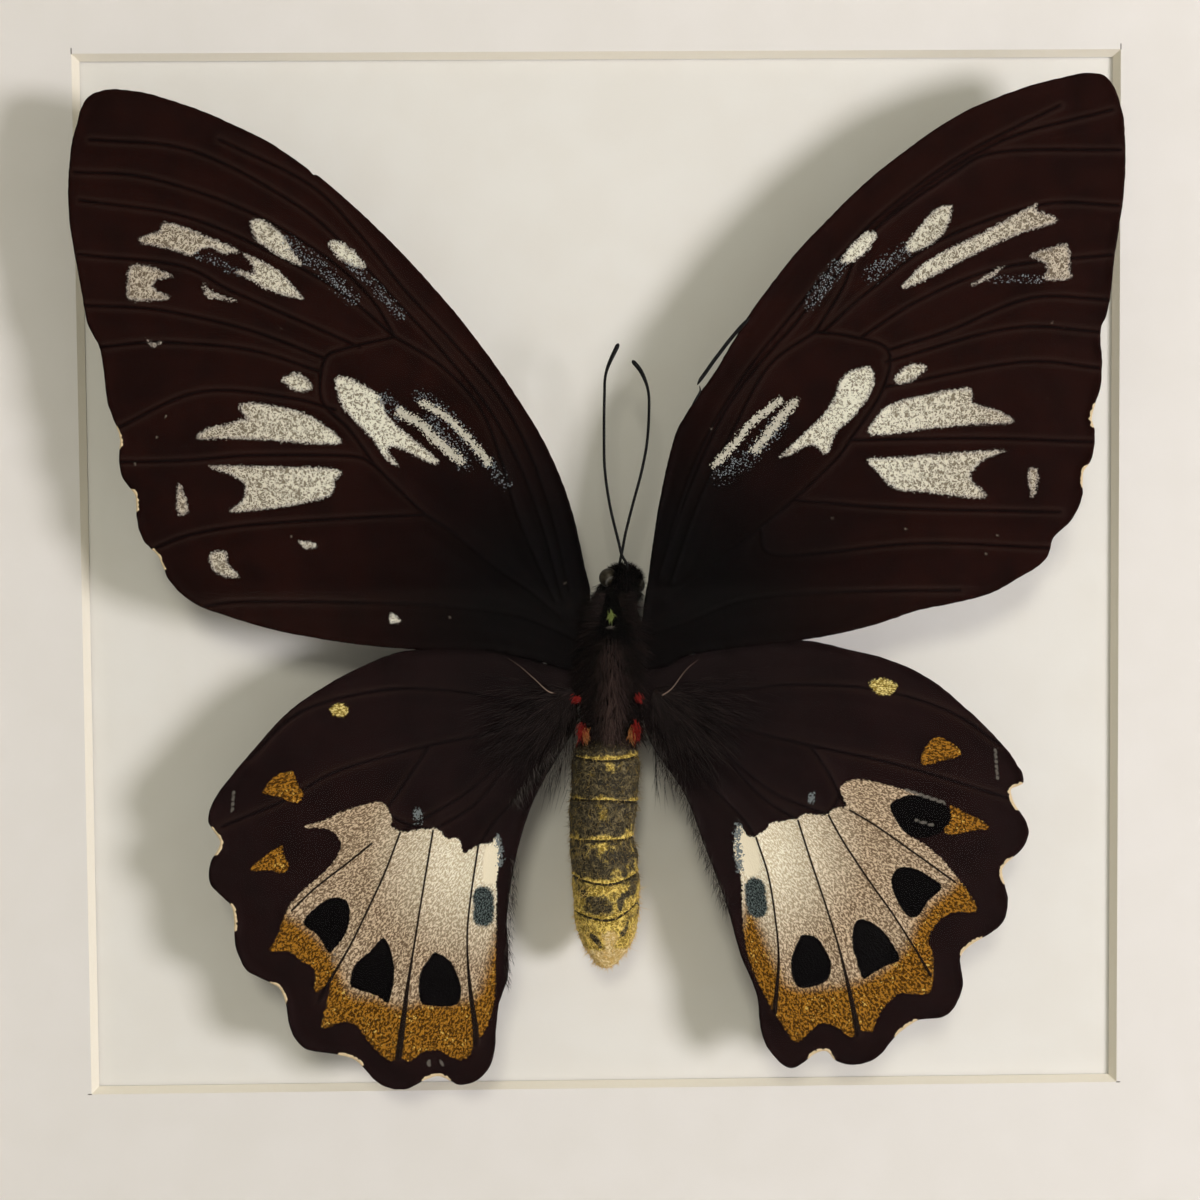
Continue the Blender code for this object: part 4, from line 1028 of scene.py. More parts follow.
def eye_material():
    """Dry glossy eye: brown-grey, with a pale crescent painted on as a highlight."""
    sh = Shader("eye")
    facets = sh.cells(0.09)
    cloud = sh.noise(0.9, 2.0)
    tint = sh.mix(sh.step(cloud, 0.35, 0.65), (0.008, 0.006, 0.004), (0.04, 0.032, 0.02))
    # Painted highlight: the pale crescent stored as rim, where the eye faces its glint.
    tint = sh.mix(sh.value("rim"), tint, (0.3, 0.28, 0.26))
    return sh.finish(tint, 0.3, facets, 0.02, 0.4, Specular_IOR_Level=0.12)


# ---------------------------------------------------------------- wings

def cad_edge(node):
    """The edge of a CAD wing's front face, as a loop of x and z."""
    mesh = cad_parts[node].data
    sides = set()
    for face in mesh.polygons:
        if face.normal.y > -0.9:
            continue
        corners = []
        for i in face.vertices:
            place = (mesh.vertices[i].co - MIDDLE) / MM
            corners.append((round(place.x, 3), round(place.z, 3)))
        for a, b in zip(corners, corners[1:] + corners[:1]):
            if (b, a) in sides:
                sides.remove((b, a))
            else:
                sides.add((a, b))
    follow = dict(sides)
    loop = [min(follow)]
    while follow[loop[-1]] != loop[0]:
        loop.append(follow[loop[-1]])
    return np.array(loop)


def splice(loop, path):
    """The loop with the stretch between the path's ends replaced by the path."""
    path = np.asarray(path, float)
    first = np.linalg.norm(loop - path[0], axis=1).argmin()
    loop = np.roll(loop, -first, 0)
    last = np.linalg.norm(loop - path[-1], axis=1).argmin()
    if last < len(loop) / 2:
        return np.vstack([path, loop[last + 1:]])
    return np.vstack([loop[1:last], path[::-1]])


def triangulated(edge, inner):
    """Triangles over the points of a closed edge and the points within it."""
    points = np.vstack([edge, inner])
    sides = [(i, (i + 1) % len(edge)) for i in range(len(edge))]
    made = delaunay_2d_cdt([Vector(p) for p in points], sides, [], 1, 1e-5)
    return np.array([tuple(p) for p in made[0]]), np.array(made[2])


def lattice(edge, cell, gap):
    """Points of a triangular lattice at least gap within the edge."""
    low, high = edge.min(0), edge.max(0)
    rows = np.arange(low[1], high[1], cell * 0.866)
    columns = np.arange(low[0], high[0], cell)
    x, z = np.meshgrid(columns, rows)
    x = x + (np.arange(len(rows)) % 2)[:, None] * cell / 2
    places = np.stack([x.ravel(), z.ravel()], 1)
    places = places[inside(places, edge)]
    return places[distance_to(places, edge, closed=True) > gap]


def along_veins(edge, veins):
    """Rows of points on the veins and beside them, none too close to another."""
    rows = []
    for vein in veins:
        line = even(smooth(vein), 0.3)
        run = np.gradient(line, axis=0)
        side = np.stack([-run[:, 1], run[:, 0]], 1) / np.linalg.norm(run, axis=1)[:, None]
        rows += [line, line + 0.22 * side, line - 0.22 * side]
    places = np.vstack(rows)
    _, kept = np.unique(np.round(places / 0.16), axis=0, return_index=True)
    places = places[np.sort(kept)]
    places = places[inside(places, edge)]
    return places[distance_to(places, edge, closed=True) > 0.22]


def wing_relief(places, edge, veins, seed):
    """Height towards the viewer: ridged veins, hollows between them, and a slow wave."""
    vein = nearest(places, veins)
    rim = distance_to(places, edge, closed=True)
    ridge = 0.13 * np.exp(-(vein / 0.17) ** 2)
    hollow = -0.22 * rise(vein, 0.0, 2.6)
    wave = 0.24 * rumple(places, 11.0, seed) + 0.07 * rumple(places, 3.2, seed + 1)
    curl = 0.2 * rumple(places, 2.5, seed + 2) * rise(rim, 2.2, 0.0)
    return ridge + (hollow + wave) * rise(rim, 0.0, 1.2) + curl, vein, rim


def plane_y(places, middle_y):
    """Depth of a wing's plane, which rises towards the viewer away from the body."""
    return middle_y - WING_RISE * np.abs(places[:, 0] - WING_AXIS)


def wing(name, material, middle_y, veins, marks, seed, damage=()):
    """A closed membrane over the CAD wing's outline. marks gives its painted values."""
    edge = cad_edge(name)
    for path in damage:
        edge = splice(edge, path)
    edge = even(smooth(edge, closed=True, steps=5), EDGE_STEP, closed=True)
    edge = edge + 0.06 * np.stack([rumple(edge, 0.8, seed), rumple(edge, 0.8, seed + 4)], 1)
    rows = along_veins(edge, veins)
    fill = lattice(edge, CELL, 0.5 * CELL)
    fill = fill[nearest(fill, veins) > 0.42]
    front, front_faces = triangulated(edge, np.vstack([rows, fill]))
    back, back_faces = triangulated(edge, lattice(edge, 1.6, 0.8))
    height, vein, rim = wing_relief(front, edge, veins, seed)
    back_height, _, back_rim = wing_relief(back, edge, [], seed)
    around = len(edge)
    back_height[:around] = height[:around]
    thickness = MEMBRANE + 0.4 * rise(back_rim, 0.2, 1.5)
    y = np.concatenate([
        plane_y(front, middle_y) - height,
        plane_y(back, middle_y) - back_height + thickness,
    ])
    flat = np.vstack([front, back])
    points = raised(flat, y)
    front_faces = facing_viewer(front, front_faces)
    back_faces = facing_viewer(back, back_faces)[:, ::-1] + len(front)
    i = np.arange(around)
    j = (i + 1) % around
    behind_i, behind_j = i + len(front), j + len(front)
    walls = np.vstack([np.stack([i, behind_i, behind_j], 1), np.stack([i, behind_j, j], 1)])
    turn = np.roll(edge, -1, 0)
    if (edge[:, 0] * turn[:, 1] - turn[:, 0] * edge[:, 1]).sum() < 0:
        walls = walls[:, ::-1]
    faces = np.vstack([front_faces, walls, back_faces])
    values = {"vein": vein, "rim": rim, **marks(front, rim)}
    blank = np.zeros(len(back))
    values = {key: np.concatenate([numbers, blank]) for key, numbers in values.items()}
    made = build(name + "_scaled", points, faces, material, values=values)
    made.data.materials.append(UNDERSIDE)
    front_count = len(front_faces) + len(walls)
    index = np.zeros(len(faces), np.int32)
    index[front_count:] = 1
    made.data.polygons.foreach_set("material_index", index)
    lay_out(made, flat, faces, front_count)
    place(made, "hindwing" if name.startswith("hind") else "forewing", name)


def facing_viewer(flat, faces):
    """Turns each triangle so that it faces the viewer, at -y."""
    a, b, c = (flat[faces[:, k]] for k in range(3))
    area = (b[:, 0] - a[:, 0]) * (c[:, 1] - a[:, 1]) - (b[:, 1] - a[:, 1]) * (c[:, 0] - a[:, 0])
    kept = faces[np.abs(area) > 1e-9].copy()
    turned = area[np.abs(area) > 1e-9] < 0
    kept[turned] = kept[turned][:, ::-1]
    return kept


def lay_out(made, flat, faces, front_count):
    """Bake layout: the front fills most of the square, the back a strip below it."""
    low = flat.min(0)
    span = (flat.max(0) - low).max()
    share = (flat - low) / span
    front = share * 0.9 + (0.01, 0.09)
    back = 0.005 + share * 0.07
    corners = np.where(np.arange(len(faces))[:, None, None] < front_count, front[faces], back[faces])
    layer = made.data.uv_layers.new(name="OFBake")
    layer.data.foreach_set("uv", corners.astype(np.float32).ravel())


def place(made, slot, replaced=None):
    """Ties a piece to the frame and, where it stands for a CAD node, hides that node."""
    if replaced:
        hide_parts(replaced)
    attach(made, "root")


def fore_marks(root, ivory, dust, worn, specks, chips):
    """Painted values of a forewing."""
    def marks(places, rim):
        from_root = np.linalg.norm(places - root, axis=1)
        out = np.abs(places[:, 0] - WING_AXIS)
        return {
            "reach": rise(from_root, 9.0, 42.0),
            "full": np.interp(out, (24, 33, 50, 62), (0.6, 0.75, 0.42, 0.12)),
            "ivory": depth_in(places, ivory),
            "dust": streaks(places, dust),
            "streak": streaks(places, worn),
            "speck": spots(places, specks, 0.6),
            "chip": rise(spots(places, chips, 2.2), 0.0, 0.4) * rise(rim, 0.5, 0.2),
        }
    return marks


def hind_marks(root, sign, pale, spot, line, gold, yellow, dust, smudge, strip, border, chips,
               scratches):
    """Painted values of a hindwing."""
    def marks(places, rim):
        off = places - root
        reach = np.linalg.norm(off, axis=1)
        below = [*line, (line[-1][0] + 8 * sign, -75.0), (line[0][0], -75.0)]
        widening = rise(-places[:, 1], 50.0, 68.0) * 0.35
        edge = np.minimum(nearest(places, border) - widening, FAR)
        bright = np.linalg.norm(places - (root[0] + 13.0 * sign, -38.0), axis=1)
        return {
            "reach": rise(reach, 6.0, 36.0),
            "along": reach,
            "across": np.arctan2(off[:, 0] * sign, -off[:, 1]) * 38.0,
            "pale": depth_in(places, [pale]),
            "cream": np.clip(1.35 - bright / 14.0, 0.14, 1.0),
            "spot": depth_in(places, spot),
            "gold": depth_in(places, [below]),
            "gold_spot": depth_in(places, gold),
            "yellow": depth_in(places, [yellow]),
            "dust": streaks(places, dust),
            "smudge": streaks(places, smudge),
            "strip": depth_in(places, [strip]),
            "border": edge,
            "streak": streaks(places, scratches),
            "chip": rise(spots(places, chips, 2.8), 0.0, 0.5) * rise(rim, 0.6, 0.25),
        }
    return marks


def build_wings():
    """The four wings, and the splinter and thread at the right forewing's split."""
    fore, hind = forewing_material(), hindwing_material()
    wing("hindwing_left", hind, HINDWING_Y, LEFT_HIND_VEINS + LEFT_HIND_BORDER_VEINS,
         hind_marks((-4.0, -16.5), -1, LEFT_PALE, LEFT_SPOTS, LEFT_GOLD_LINE, LEFT_GOLD, LEFT_YELLOW,
                    LEFT_HIND_DUST, LEFT_SMUDGE, LEFT_STRIP, LEFT_HIND_BORDER_VEINS, LEFT_HIND_CHIPS,
                    LEFT_SCRATCHES), 3)
    wing("hindwing_right", hind, HINDWING_Y, RIGHT_HIND_VEINS + RIGHT_HIND_BORDER_VEINS,
         hind_marks((6.8, -16.5), 1, RIGHT_PALE, RIGHT_SPOTS, RIGHT_GOLD_LINE, RIGHT_GOLD, RIGHT_YELLOW,
                    RIGHT_HIND_DUST, RIGHT_SMUDGE, RIGHT_STRIP, RIGHT_HIND_BORDER_VEINS, RIGHT_HIND_CHIPS,
                    RIGHT_SCRATCHES), 11)
    wing("forewing_left", fore, FOREWING_Y, LEFT_FORE_VEINS,
         fore_marks((-5.0, -5.0), LEFT_IVORY, LEFT_DUST, LEFT_STREAKS, LEFT_SPECKS, LEFT_FORE_CHIPS), 19,
         [LEFT_NICK])
    wing("forewing_right", fore, FOREWING_Y, RIGHT_FORE_VEINS,
         fore_marks((7.5, -4.0), RIGHT_IVORY, RIGHT_DUST, RIGHT_STREAKS, RIGHT_SPECKS, RIGHT_FORE_CHIPS),
         27, [SPLIT_EDGE])
    build_split()


def build_split():
    """The snapped costa: a splinter lying along the split and a loose thread."""
    shapes = []
    for line, radius in ((SPLINTER, 0.28), (THREAD, 0.15)):
        flat = even(smooth(line), 0.25)
        y = plane_y(flat, FOREWING_Y) - 0.35
        along = np.arange(len(flat))
        from_end = np.clip(np.minimum(along, along[::-1]), 0.15, 4)
        shapes.append(tube(raised(flat, y), radius * np.sqrt(from_end / 4), 7))
    points, faces = joined(shapes)
    place(build("split_costa", points, faces, HORN), "horn")


# ---------------------------------------------------------------- body

def ellipse_skin(heights, left, right, y, depth, sides):
    """Rings of points round the body at each height."""
    turn = 2 * math.pi * np.arange(sides) / sides
    across = (left + right)[:, None] / 2 + (right - left)[:, None] / 2 * np.cos(turn)
    front = y + np.asarray(depth)[:, None] * np.sin(turn) * np.ones_like(across)
    up = np.broadcast_to(heights[:, None], across.shape)
    return np.stack([across, front, up], 2)


def normals_of(skin):
    """Outward normals of rings that run down the body."""
    down = np.gradient(skin, axis=0)
    around = np.roll(skin, -1, 1) - np.roll(skin, 1, 1)
    flat = np.cross(around.reshape(-1, 3), down.reshape(-1, 3))
    centre = skin.mean(1, keepdims=True)
    out = unit(flat).reshape(skin.shape)
    sign = np.sign((out * (skin - centre)).sum(2, keepdims=True))
    return out * np.where(sign == 0, 1, sign)


def picked(skin, count, rng, front_share=0.8):
    """Random places on a skin, mostly where the viewer sees them, with their normals."""
    normals = normals_of(skin)
    rings, sides, _ = skin.shape
    size = np.linalg.norm(np.gradient(skin, axis=0), axis=2) * np.linalg.norm(
        np.roll(skin, -1, 1) - skin, axis=2)
    weight = size * (1 - front_share + front_share * (normals[..., 1] < 0.1))
    chosen = rng.choice(rings * sides, count, p=(weight / weight.sum()).ravel())
    shift = rng.uniform(-0.1, 0.1, (count, 3))
    return skin.reshape(-1, 3)[chosen] + shift, normals.reshape(-1, 3)[chosen]


def closed_skin(skin):
    """Points and triangles of a skin whose rings run down, closed at both ends."""
    rings, sides, _ = skin.shape
    return skin.reshape(-1, 3), ring_faces(rings, sides)


def thorax_skin():
    """Rings down the thorax."""
    steps = np.array(THORAX)
    heights = np.linspace(steps[0, 0], steps[-1, 0], 60)
    width = np.interp(-heights, -steps[:, 0], steps[:, 1])
    width = softened(width, 4)
    return ellipse_skin(heights, BODY_X - width, BODY_X + width, THORAX_Y, THORAX_DEEPER * width, 48)


def build_thorax():
    """The thorax's down: black at the sides, brownish below, and lighter down the middle, partly the
    fur's own brown and partly painted sheen.
    """
    rng = np.random.default_rng(5)
    skin = thorax_skin()
    roots, normals = picked(skin, 8500, rng)
    side = np.clip(np.abs(roots[:, 0] - BODY_X) / 3.5, 0, 1)
    low = rise(-roots[:, 2], 6.0, 22.0)
    outward = 0.25 * (roots[:, 0] - BODY_X) * side
    flow = np.stack([outward, np.full(len(roots), -0.05), -0.6 - 0.5 * low], 1)
    locks = np.stack([rumple(roots, 1.4, seed) for seed in (61, 62, 63)], 1)
    stray = rng.normal(0, 0.32, roots.shape)
    headings = unit(0.55 * normals + flow + 0.6 * locks * low[:, None] + stray)
    lengths = rng.uniform(1.0, 2.1, len(roots))
    # Painted sheen: lighter strands down the middle of the lower thorax; the brown below is the fur's own
    # colour.
    sheen_column = bell(roots[:, 0] - 0.7 + 0.02 * roots[:, 2], 1.3) * rise(-roots[:, 2], 7.0, 9.5)
    patches = np.clip(0.7 + 0.5 * locks[:, 0], 0.1, 1.3)
    brown_and_sheen = (sheen_column * 0.5 + 0.75 * low * (1 - side) * patches) * rng.uniform(0.2, 1.2, len(roots))
    tint = np.clip(0.01 + brown_and_sheen, 0, 1)
    hair = strands(roots, headings, lengths, 0.055, np.array((0.0, -0.05, -0.35)))
    core = closed_skin(skin)
    side_count = 2600
    points, faces = joined([core, hair, side_hair(rng, side_count)])
    dark = per_hair(rng.uniform(0, 0.35, side_count) ** 1.5)
    values = {"tint": np.concatenate([np.zeros(len(core[0])), per_hair(tint), dark])}
    made = build("thorax_fur", points, faces, FUR, values=values)
    place(made, "black_fur", "thorax")
    build_tufts(rng)


def side_hair(rng, count):
    """Down that spreads from the thorax over the roots of the wings."""
    sign = rng.choice((-1, 1), count)
    z = rng.uniform(-22.0, -2.0, count)
    x = BODY_X + sign * rng.uniform(1.8, 4.1, count) * np.interp(z, (-7.0, -2.0), (1.0, 0.4))
    y = THORAX_Y - 4.6 + rng.uniform(0.0, 1.8, count) * (np.abs(x - BODY_X) > 2.6)
    slant = np.interp(z, (-22.0, -2.0), (-1.5, 0.1))
    roots = np.stack([x, y, z], 1)
    out = np.stack([sign * 1.0, np.full(count, 0.28), slant], 1)
    headings = unit(out + rng.normal(0, 0.25, (count, 3)))
    return strands(roots, headings, rng.uniform(1.2, 3.4, count), 0.05, np.array((0.0, 0.12, -0.1)))


def tuft(rng, centre, spread, heading, length, count):
    """A small bundle of hairs at a place on the body's front."""
    roots = np.asarray(centre) + rng.normal(0, 1, (count, 3)) * spread
    headings = unit(np.asarray(heading, float) + rng.normal(0, 0.3, (count, 3)))
    lengths = rng.uniform(0.6, 1.1, count) * length
    return strands(roots, headings, lengths, 0.06, np.array((0.0, -0.1, -0.2)))


def build_tufts(rng):
    """Coloured tufts beside the thorax, and the pale green scales behind the head."""
    front = THORAX_Y - THORAX_DEEPER * 3.2
    red = (
        ((-3.8, front - 0.9, -16.4), (0.3, 0.15, 0.2), (-0.9, -0.2, -0.7), 0.9, 45),
        ((4.6, front - 0.9, -16.3), (0.2, 0.15, 0.25), (0.5, -0.2, -1.0), 0.9, 45),
        ((-3.3, front - 0.1, -21.0), (0.3, 0.2, 0.5), (-0.1, -0.4, -0.9), 1.0, 80),
        ((4.3, front - 0.1, -20.8), (0.3, 0.2, 0.6), (0.1, -0.4, -0.9), 1.2, 100),
    )
    amber = (
        ((-2.7, front - 0.1, -21.5), (0.25, 0.2, 0.4), (0.0, -0.4, -0.9), 0.9, 70),
        ((3.7, front - 0.2, -21.4), (0.25, 0.2, 0.5), (0.0, -0.4, -0.9), 1.0, 80),
    )
    green = (((1.0, THORAX_Y - 5.2, -4.9), (0.22, 0.08, 0.3), (-0.15, -0.35, -1.0), 0.7, 90),)
    grey = (((0.7, THORAX_Y - 6.0, -6.6), (0.2, 0.05, 0.08), (0.8, -0.3, 0.1), 0.6, 14),)
    for name, fur, bundles, least in (
            ("red_tufts", RED_FUR, red, 0), ("amber_tufts", AMBER_FUR, amber, 0),
            ("green_scales", GREEN_FUR, green, 0), ("grey_scales", FRINGE, grey, 0.4)):
        points, faces = joined([tuft(rng, *bundle) for bundle in bundles])
        tint = rng.uniform(least, 1, len(points))
        place(build(name, points, faces, fur, values={"tint": tint}), "black_fur")


def ball_skin(centre, size, rows=24, sides=36):
    """Rings from the top of an ellipsoid down."""
    turn = np.linspace(0.05, math.pi - 0.05, rows)
    width = size[0] * np.sin(turn)
    depth = size[1] * np.sin(turn)
    heights = centre[2] + size[2] * np.cos(turn)
    return ellipse_skin(heights, centre[0] - width, centre[0] + width, centre[1], depth, sides)


def build_head():
    """The head's short down and its two bare eyes."""
    rng = np.random.default_rng(8)
    skin = ball_skin(HEAD, (2.7, 2.7, 2.6))
    roots, normals = picked(skin, 3000, rng, 0.5)
    clear = np.ones(len(roots), bool)
    for eye in EYES:
        clear &= np.linalg.norm(roots - eye, axis=1) > EYE_RADIUS + 0.05
    roots, normals = roots[clear], normals[clear]
    headings = unit(0.9 * normals + (0, -0.05, -0.35) + rng.normal(0, 0.25, roots.shape))
    lengths = rng.uniform(0.5, 1.15, len(roots))
    hair = strands(roots, headings, lengths, 0.05, np.array((0.0, -0.05, -0.2)))
    core = closed_skin(skin)
    points, faces = joined([core, hair])
    tint = np.clip(rng.exponential(0.03, len(roots)), 0, 0.3)
    values = {"tint": np.concatenate([np.zeros(len(core[0])), per_hair(tint)])}
    made = build("head_fur", points, faces, FUR, values=values)
    place(made, "black_fur", "head")
    eyes, eye_highlights = [], []
    # Painted highlight: each eye gets a pale ring around the direction its glint comes from.
    for centre, glint in zip(EYES, ((0.35, -0.75, -0.5), (0.9, -0.35, -0.2))):
        skin = ball_skin(centre, (EYE_RADIUS,) * 3, 36, 48)
        eyes.append(closed_skin(skin))
        facing = ((skin - centre) / EYE_RADIUS).reshape(-1, 3) @ unit(np.array([glint]))[0]
        eye_highlights.append(0.4 * bell(facing - 0.8, 0.05))
    points, faces = joined(eyes)
    made = build("eyes", points, faces, eye_material(), values={"rim": np.concatenate(eye_highlights)})
    place(made, "horn")


def abdomen_skin():
    """The abdomen's skin and, for each point, its share of the way from the middle to a side
    and how far it lies below and above the nearest rims."""
    steps = np.array(ABDOMEN_SIDES)
    heights = np.linspace(steps[0, 0], steps[-1, 0], 300)
    left, right = (softened(np.interp(-heights, -steps[:, 0], steps[:, k]), 6) for k in (1, 2))
    tip = np.sqrt(np.clip((heights - (ABDOMEN_TIP - 0.1)) / 0.9, 0.03, 1))
    middle = (left + right) / 2
    left, right = middle + (left - middle) * tip, middle + (right - middle) * tip
    depth = 0.95 * (right - left) / 2
    skin = ellipse_skin(heights, left, right, ABDOMEN_Y, depth, 150)
    turn = (skin[..., 0] - middle[:, None]) / np.maximum((right - left)[:, None] / 2, 0.3)
    below = np.full(turn.shape, 99.0)
    above = np.full(turn.shape, 99.0)
    for rim, lift_left, lift_right in RIM_SHAPES:
        lift = np.where(turn < 0, lift_left, lift_right) * np.abs(turn) ** 1.7
        off = (rim + lift) - skin[..., 2]
        below = np.where((off >= 0) & (off < below), off, below)
        above = np.where((off < 0) & (-off < above), -off, above)
    flat = skin.reshape(-1, 3)
    bumps = 0.07 * rumple(flat, 0.7, 41) + 0.1 * rumple(flat, 2.2, 42)
    swell = 0.16 * bell(above, 0.3) - 0.34 * bell(below - 0.1, 0.16)
    swell = swell + 0.18 * bell(below - 1.6, 1.6)
    offset = swell + bumps.reshape(turn.shape)
    return skin + normals_of(skin) * offset[..., None], turn, below, above


def abdomen_values(skin, turn, below, above):
    """Painted values of the abdomen."""
    z = skin[..., 2]
    wave = rumple(skin.reshape(-1, 3), 1.1, 44).reshape(turn.shape)
    drift = rumple(skin.reshape(-1, 3), 1.7, 46).reshape(turn.shape)
    yellow = 0.62 * bell(above, 0.45) * (1 + 0.4 * wave)
    yellow += 0.42 * bell(turn, 0.45) * bell(below - 0.9, 0.9)
    yellow += 0.35 * bell(turn, 0.3) * bell(above, 1.2)
    yellow += 0.4 * rise(turn, 0.5, 0.95) * bell(above, 1.2)
    yellow += 0.22 * rise(-z, 31.0, 38.0) + 0.45 * rise(-z, 41.6, 44.0) + 0.4 * rise(-z, 47.8, 49.0)
    for x, height, wide, tall, slant in DARK_STREAKS:
        across = (turn + 0.16 * drift - x - slant * (z - height)) / wide
        off = across ** 2 + ((z - height) / tall) ** 2
        yellow -= np.exp(-off * (1 + 0.5 * wave))
    cream = rise(-z, 51.9, 53.3) + 0.25 * rise(-z, 47.8, 50.0)
    cream = cream + 0.7 * bell(turn - 0.1, 0.25) * rise(-z, 48.2, 50.5)
    cream += 0.3 * rise(-z, 43.0, 46.0) * rise(np.abs(turn), 0.75, 1.0)
    cream += 0.45 * np.exp(-((turn + 0.55) / 0.2) ** 2 - ((z + 44.0) / 0.7) ** 2)
    # Painted shade: darker in the groove under each rim and at the top, where the abdomen tucks under the
    # thorax.
    crease_shade = 1.3 * bell(below - 0.14, 0.22) * (1 - 0.75 * rise(-z, 48.9, 50.2))
    crease_shade += 0.75 * rise(z, -25.0, -23.8)
    return {
        "yellow": (yellow + 0.12 * wave).ravel(), "cream": cream.ravel(), "crease_shade": crease_shade.ravel(),
    }


def build_abdomen():
    """The ringed abdomen and the short hairs that lie on it."""
    rng = np.random.default_rng(13)
    skin, turn, below, above = abdomen_skin()
    values = abdomen_values(skin, turn, below, above)
    points, faces = closed_skin(skin)
    made = build("abdomen_rings", points, faces, abdomen_material(), values=values)
    place(made, "abdomen", "abdomen")
    chosen = rng.choice(len(points), 4200)
    normals = normals_of(skin).reshape(-1, 3)[chosen]
    yellow = np.clip(values["yellow"] + values["cream"], 0, 1)[chosen]
    headings = unit(0.4 * normals + (0, 0, -0.5) + rng.normal(0, 0.4, normals.shape))
    lengths = rng.uniform(0.35, 0.85, len(chosen))
    bend = rng.normal(0, 0.45, (len(chosen), 3))
    points, faces = strands(points[chosen], headings, lengths, 0.032, bend)
    tint = np.clip(yellow * 0.8 + rng.uniform(0, 0.35, len(chosen)), 0, 1)
    made = build("abdomen_hair", points, faces, OLIVE_FUR, values={"tint": per_hair(tint)})
    place(made, "abdomen")


def build_antenna(side, path):
    """A ringed rod that thickens to a club."""
    start = np.array(path[0]) - (0.0, -0.5, 1.2)
    step = 0.12
    line = even(smooth([start, *path]), step)
    run = np.arange(len(line)) * step
    club = rise(run, run[-1] - 5.0, run[-1] - 1.2) * 0.11
    rings = 0.014 * np.sin(run * 2 * math.pi / 0.48)
    blunt = np.sqrt(np.clip((run[-1] - run + 0.02) / 0.35, 0.05, 1))
    points, faces = tube(line, (0.2 + club + rings) * blunt, 10)
    made = build(f"antenna_{side}_ringed", points, faces, HORN)
    place(made, "horn", f"antenna_{side}")


def brush(rng, line, count, heading, length):
    """Long hairs rooted along a line on a hindwing."""
    line = even(smooth(line), 0.2)
    flat = line[rng.integers(0, len(line), count)] + rng.normal(0, 0.3, (count, 2))
    roots = raised(flat, plane_y(flat, HINDWING_Y) - 0.15)
    headings = unit(np.asarray(heading, float) + rng.normal(0, 1, (count, 3)) * (0.22, 0.1, 0.22))
    lengths = rng.uniform(0.5, 1.1, count) * length
    bend = (0, -0.1, 0) + rng.normal(0, 0.1, (count, 3))
    return strands(roots, headings, lengths, 0.03, bend)


def disc_hair(rng, sign, centre, count):
    """Soft hairs that lie along a hindwing's disc, away from the body."""
    reach = 15.0 * rng.beta(1.1, 1.9, count) + 0.4
    turn = np.clip(rng.normal(0.8, 0.38, count), 0.05, 1.75)
    flat = np.stack([centre[0] + sign * reach * np.sin(turn), centre[1] - reach * np.cos(turn)], 1)
    roots = raised(flat, plane_y(flat, HINDWING_Y) - 0.25)
    out = np.stack([sign * np.sin(turn), np.full(count, -0.05), -np.cos(turn)], 1)
    headings = unit(out + rng.normal(0, 1, (count, 3)) * (0.12, 0.04, 0.12))
    lengths = rng.uniform(1.5, 4.0, count)
    bend = np.array((0.0, 0.08, -0.12)) + rng.normal(0, 0.05, (count, 3))
    return strands(roots, headings, lengths, 0.028, bend)


def build_ridges():
    """Vein ridges at the roots of the hindwings: real ridges, painted light brown as a highlight where
    light catches them.
    """
    shapes = []
    for line in (LEFT_RIDGE, RIGHT_RIDGE):
        flat = even(smooth(line), 0.3)
        path = raised(flat, plane_y(flat, HINDWING_Y) - 0.45)
        shapes.append(tube(path, np.linspace(0.03, 0.08, len(flat)), 6))
    points, faces = joined(shapes)
    values = {"tint": np.tile(np.linspace(0.0, 1.0, len(points) // 2), 3)[:len(points)]}
    # Painted highlight: the ridges' tan colour stands in for light catching them.
    place(build("vein_ridge_highlights", points, faces, VEIN_HIGHLIGHT, values=values), "hindwing")


def build_wing_hair():
    """Hairs over the hindwings' discs and the pale fringe down their inner margins."""
    rng = np.random.default_rng(21)
    disc_count = 3200
    for side, sign, root in (("left", -1, (-4.0, -15.5)), ("right", 1, (6.6, -15.5))):
        points, faces = disc_hair(rng, sign, root, disc_count)
        tint = per_hair(rng.uniform(0, 1, disc_count) ** 2)
        made = build(f"disc_hair_{side}", points, faces, BROWN_FUR, values={"tint": tint})
        place(made, "hindwing")
    points, faces = joined([brush(rng, *row) for row in FRINGE_ROWS])
    tint = per_hair(rng.uniform(0, 1, len(points) // HAIR_POINTS) ** 3)
    made = build("margin_fringe", points, faces, FRINGE, values={"tint": tint})
    place(made, "hindwing")


# ---------------------------------------------------------------- frame and stage

def dress(names, material):
    """Gives CAD nodes that stay as they are a better material."""
    for name in names:
        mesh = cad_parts[name].data
        mesh.materials.clear()
        mesh.materials.append(material)


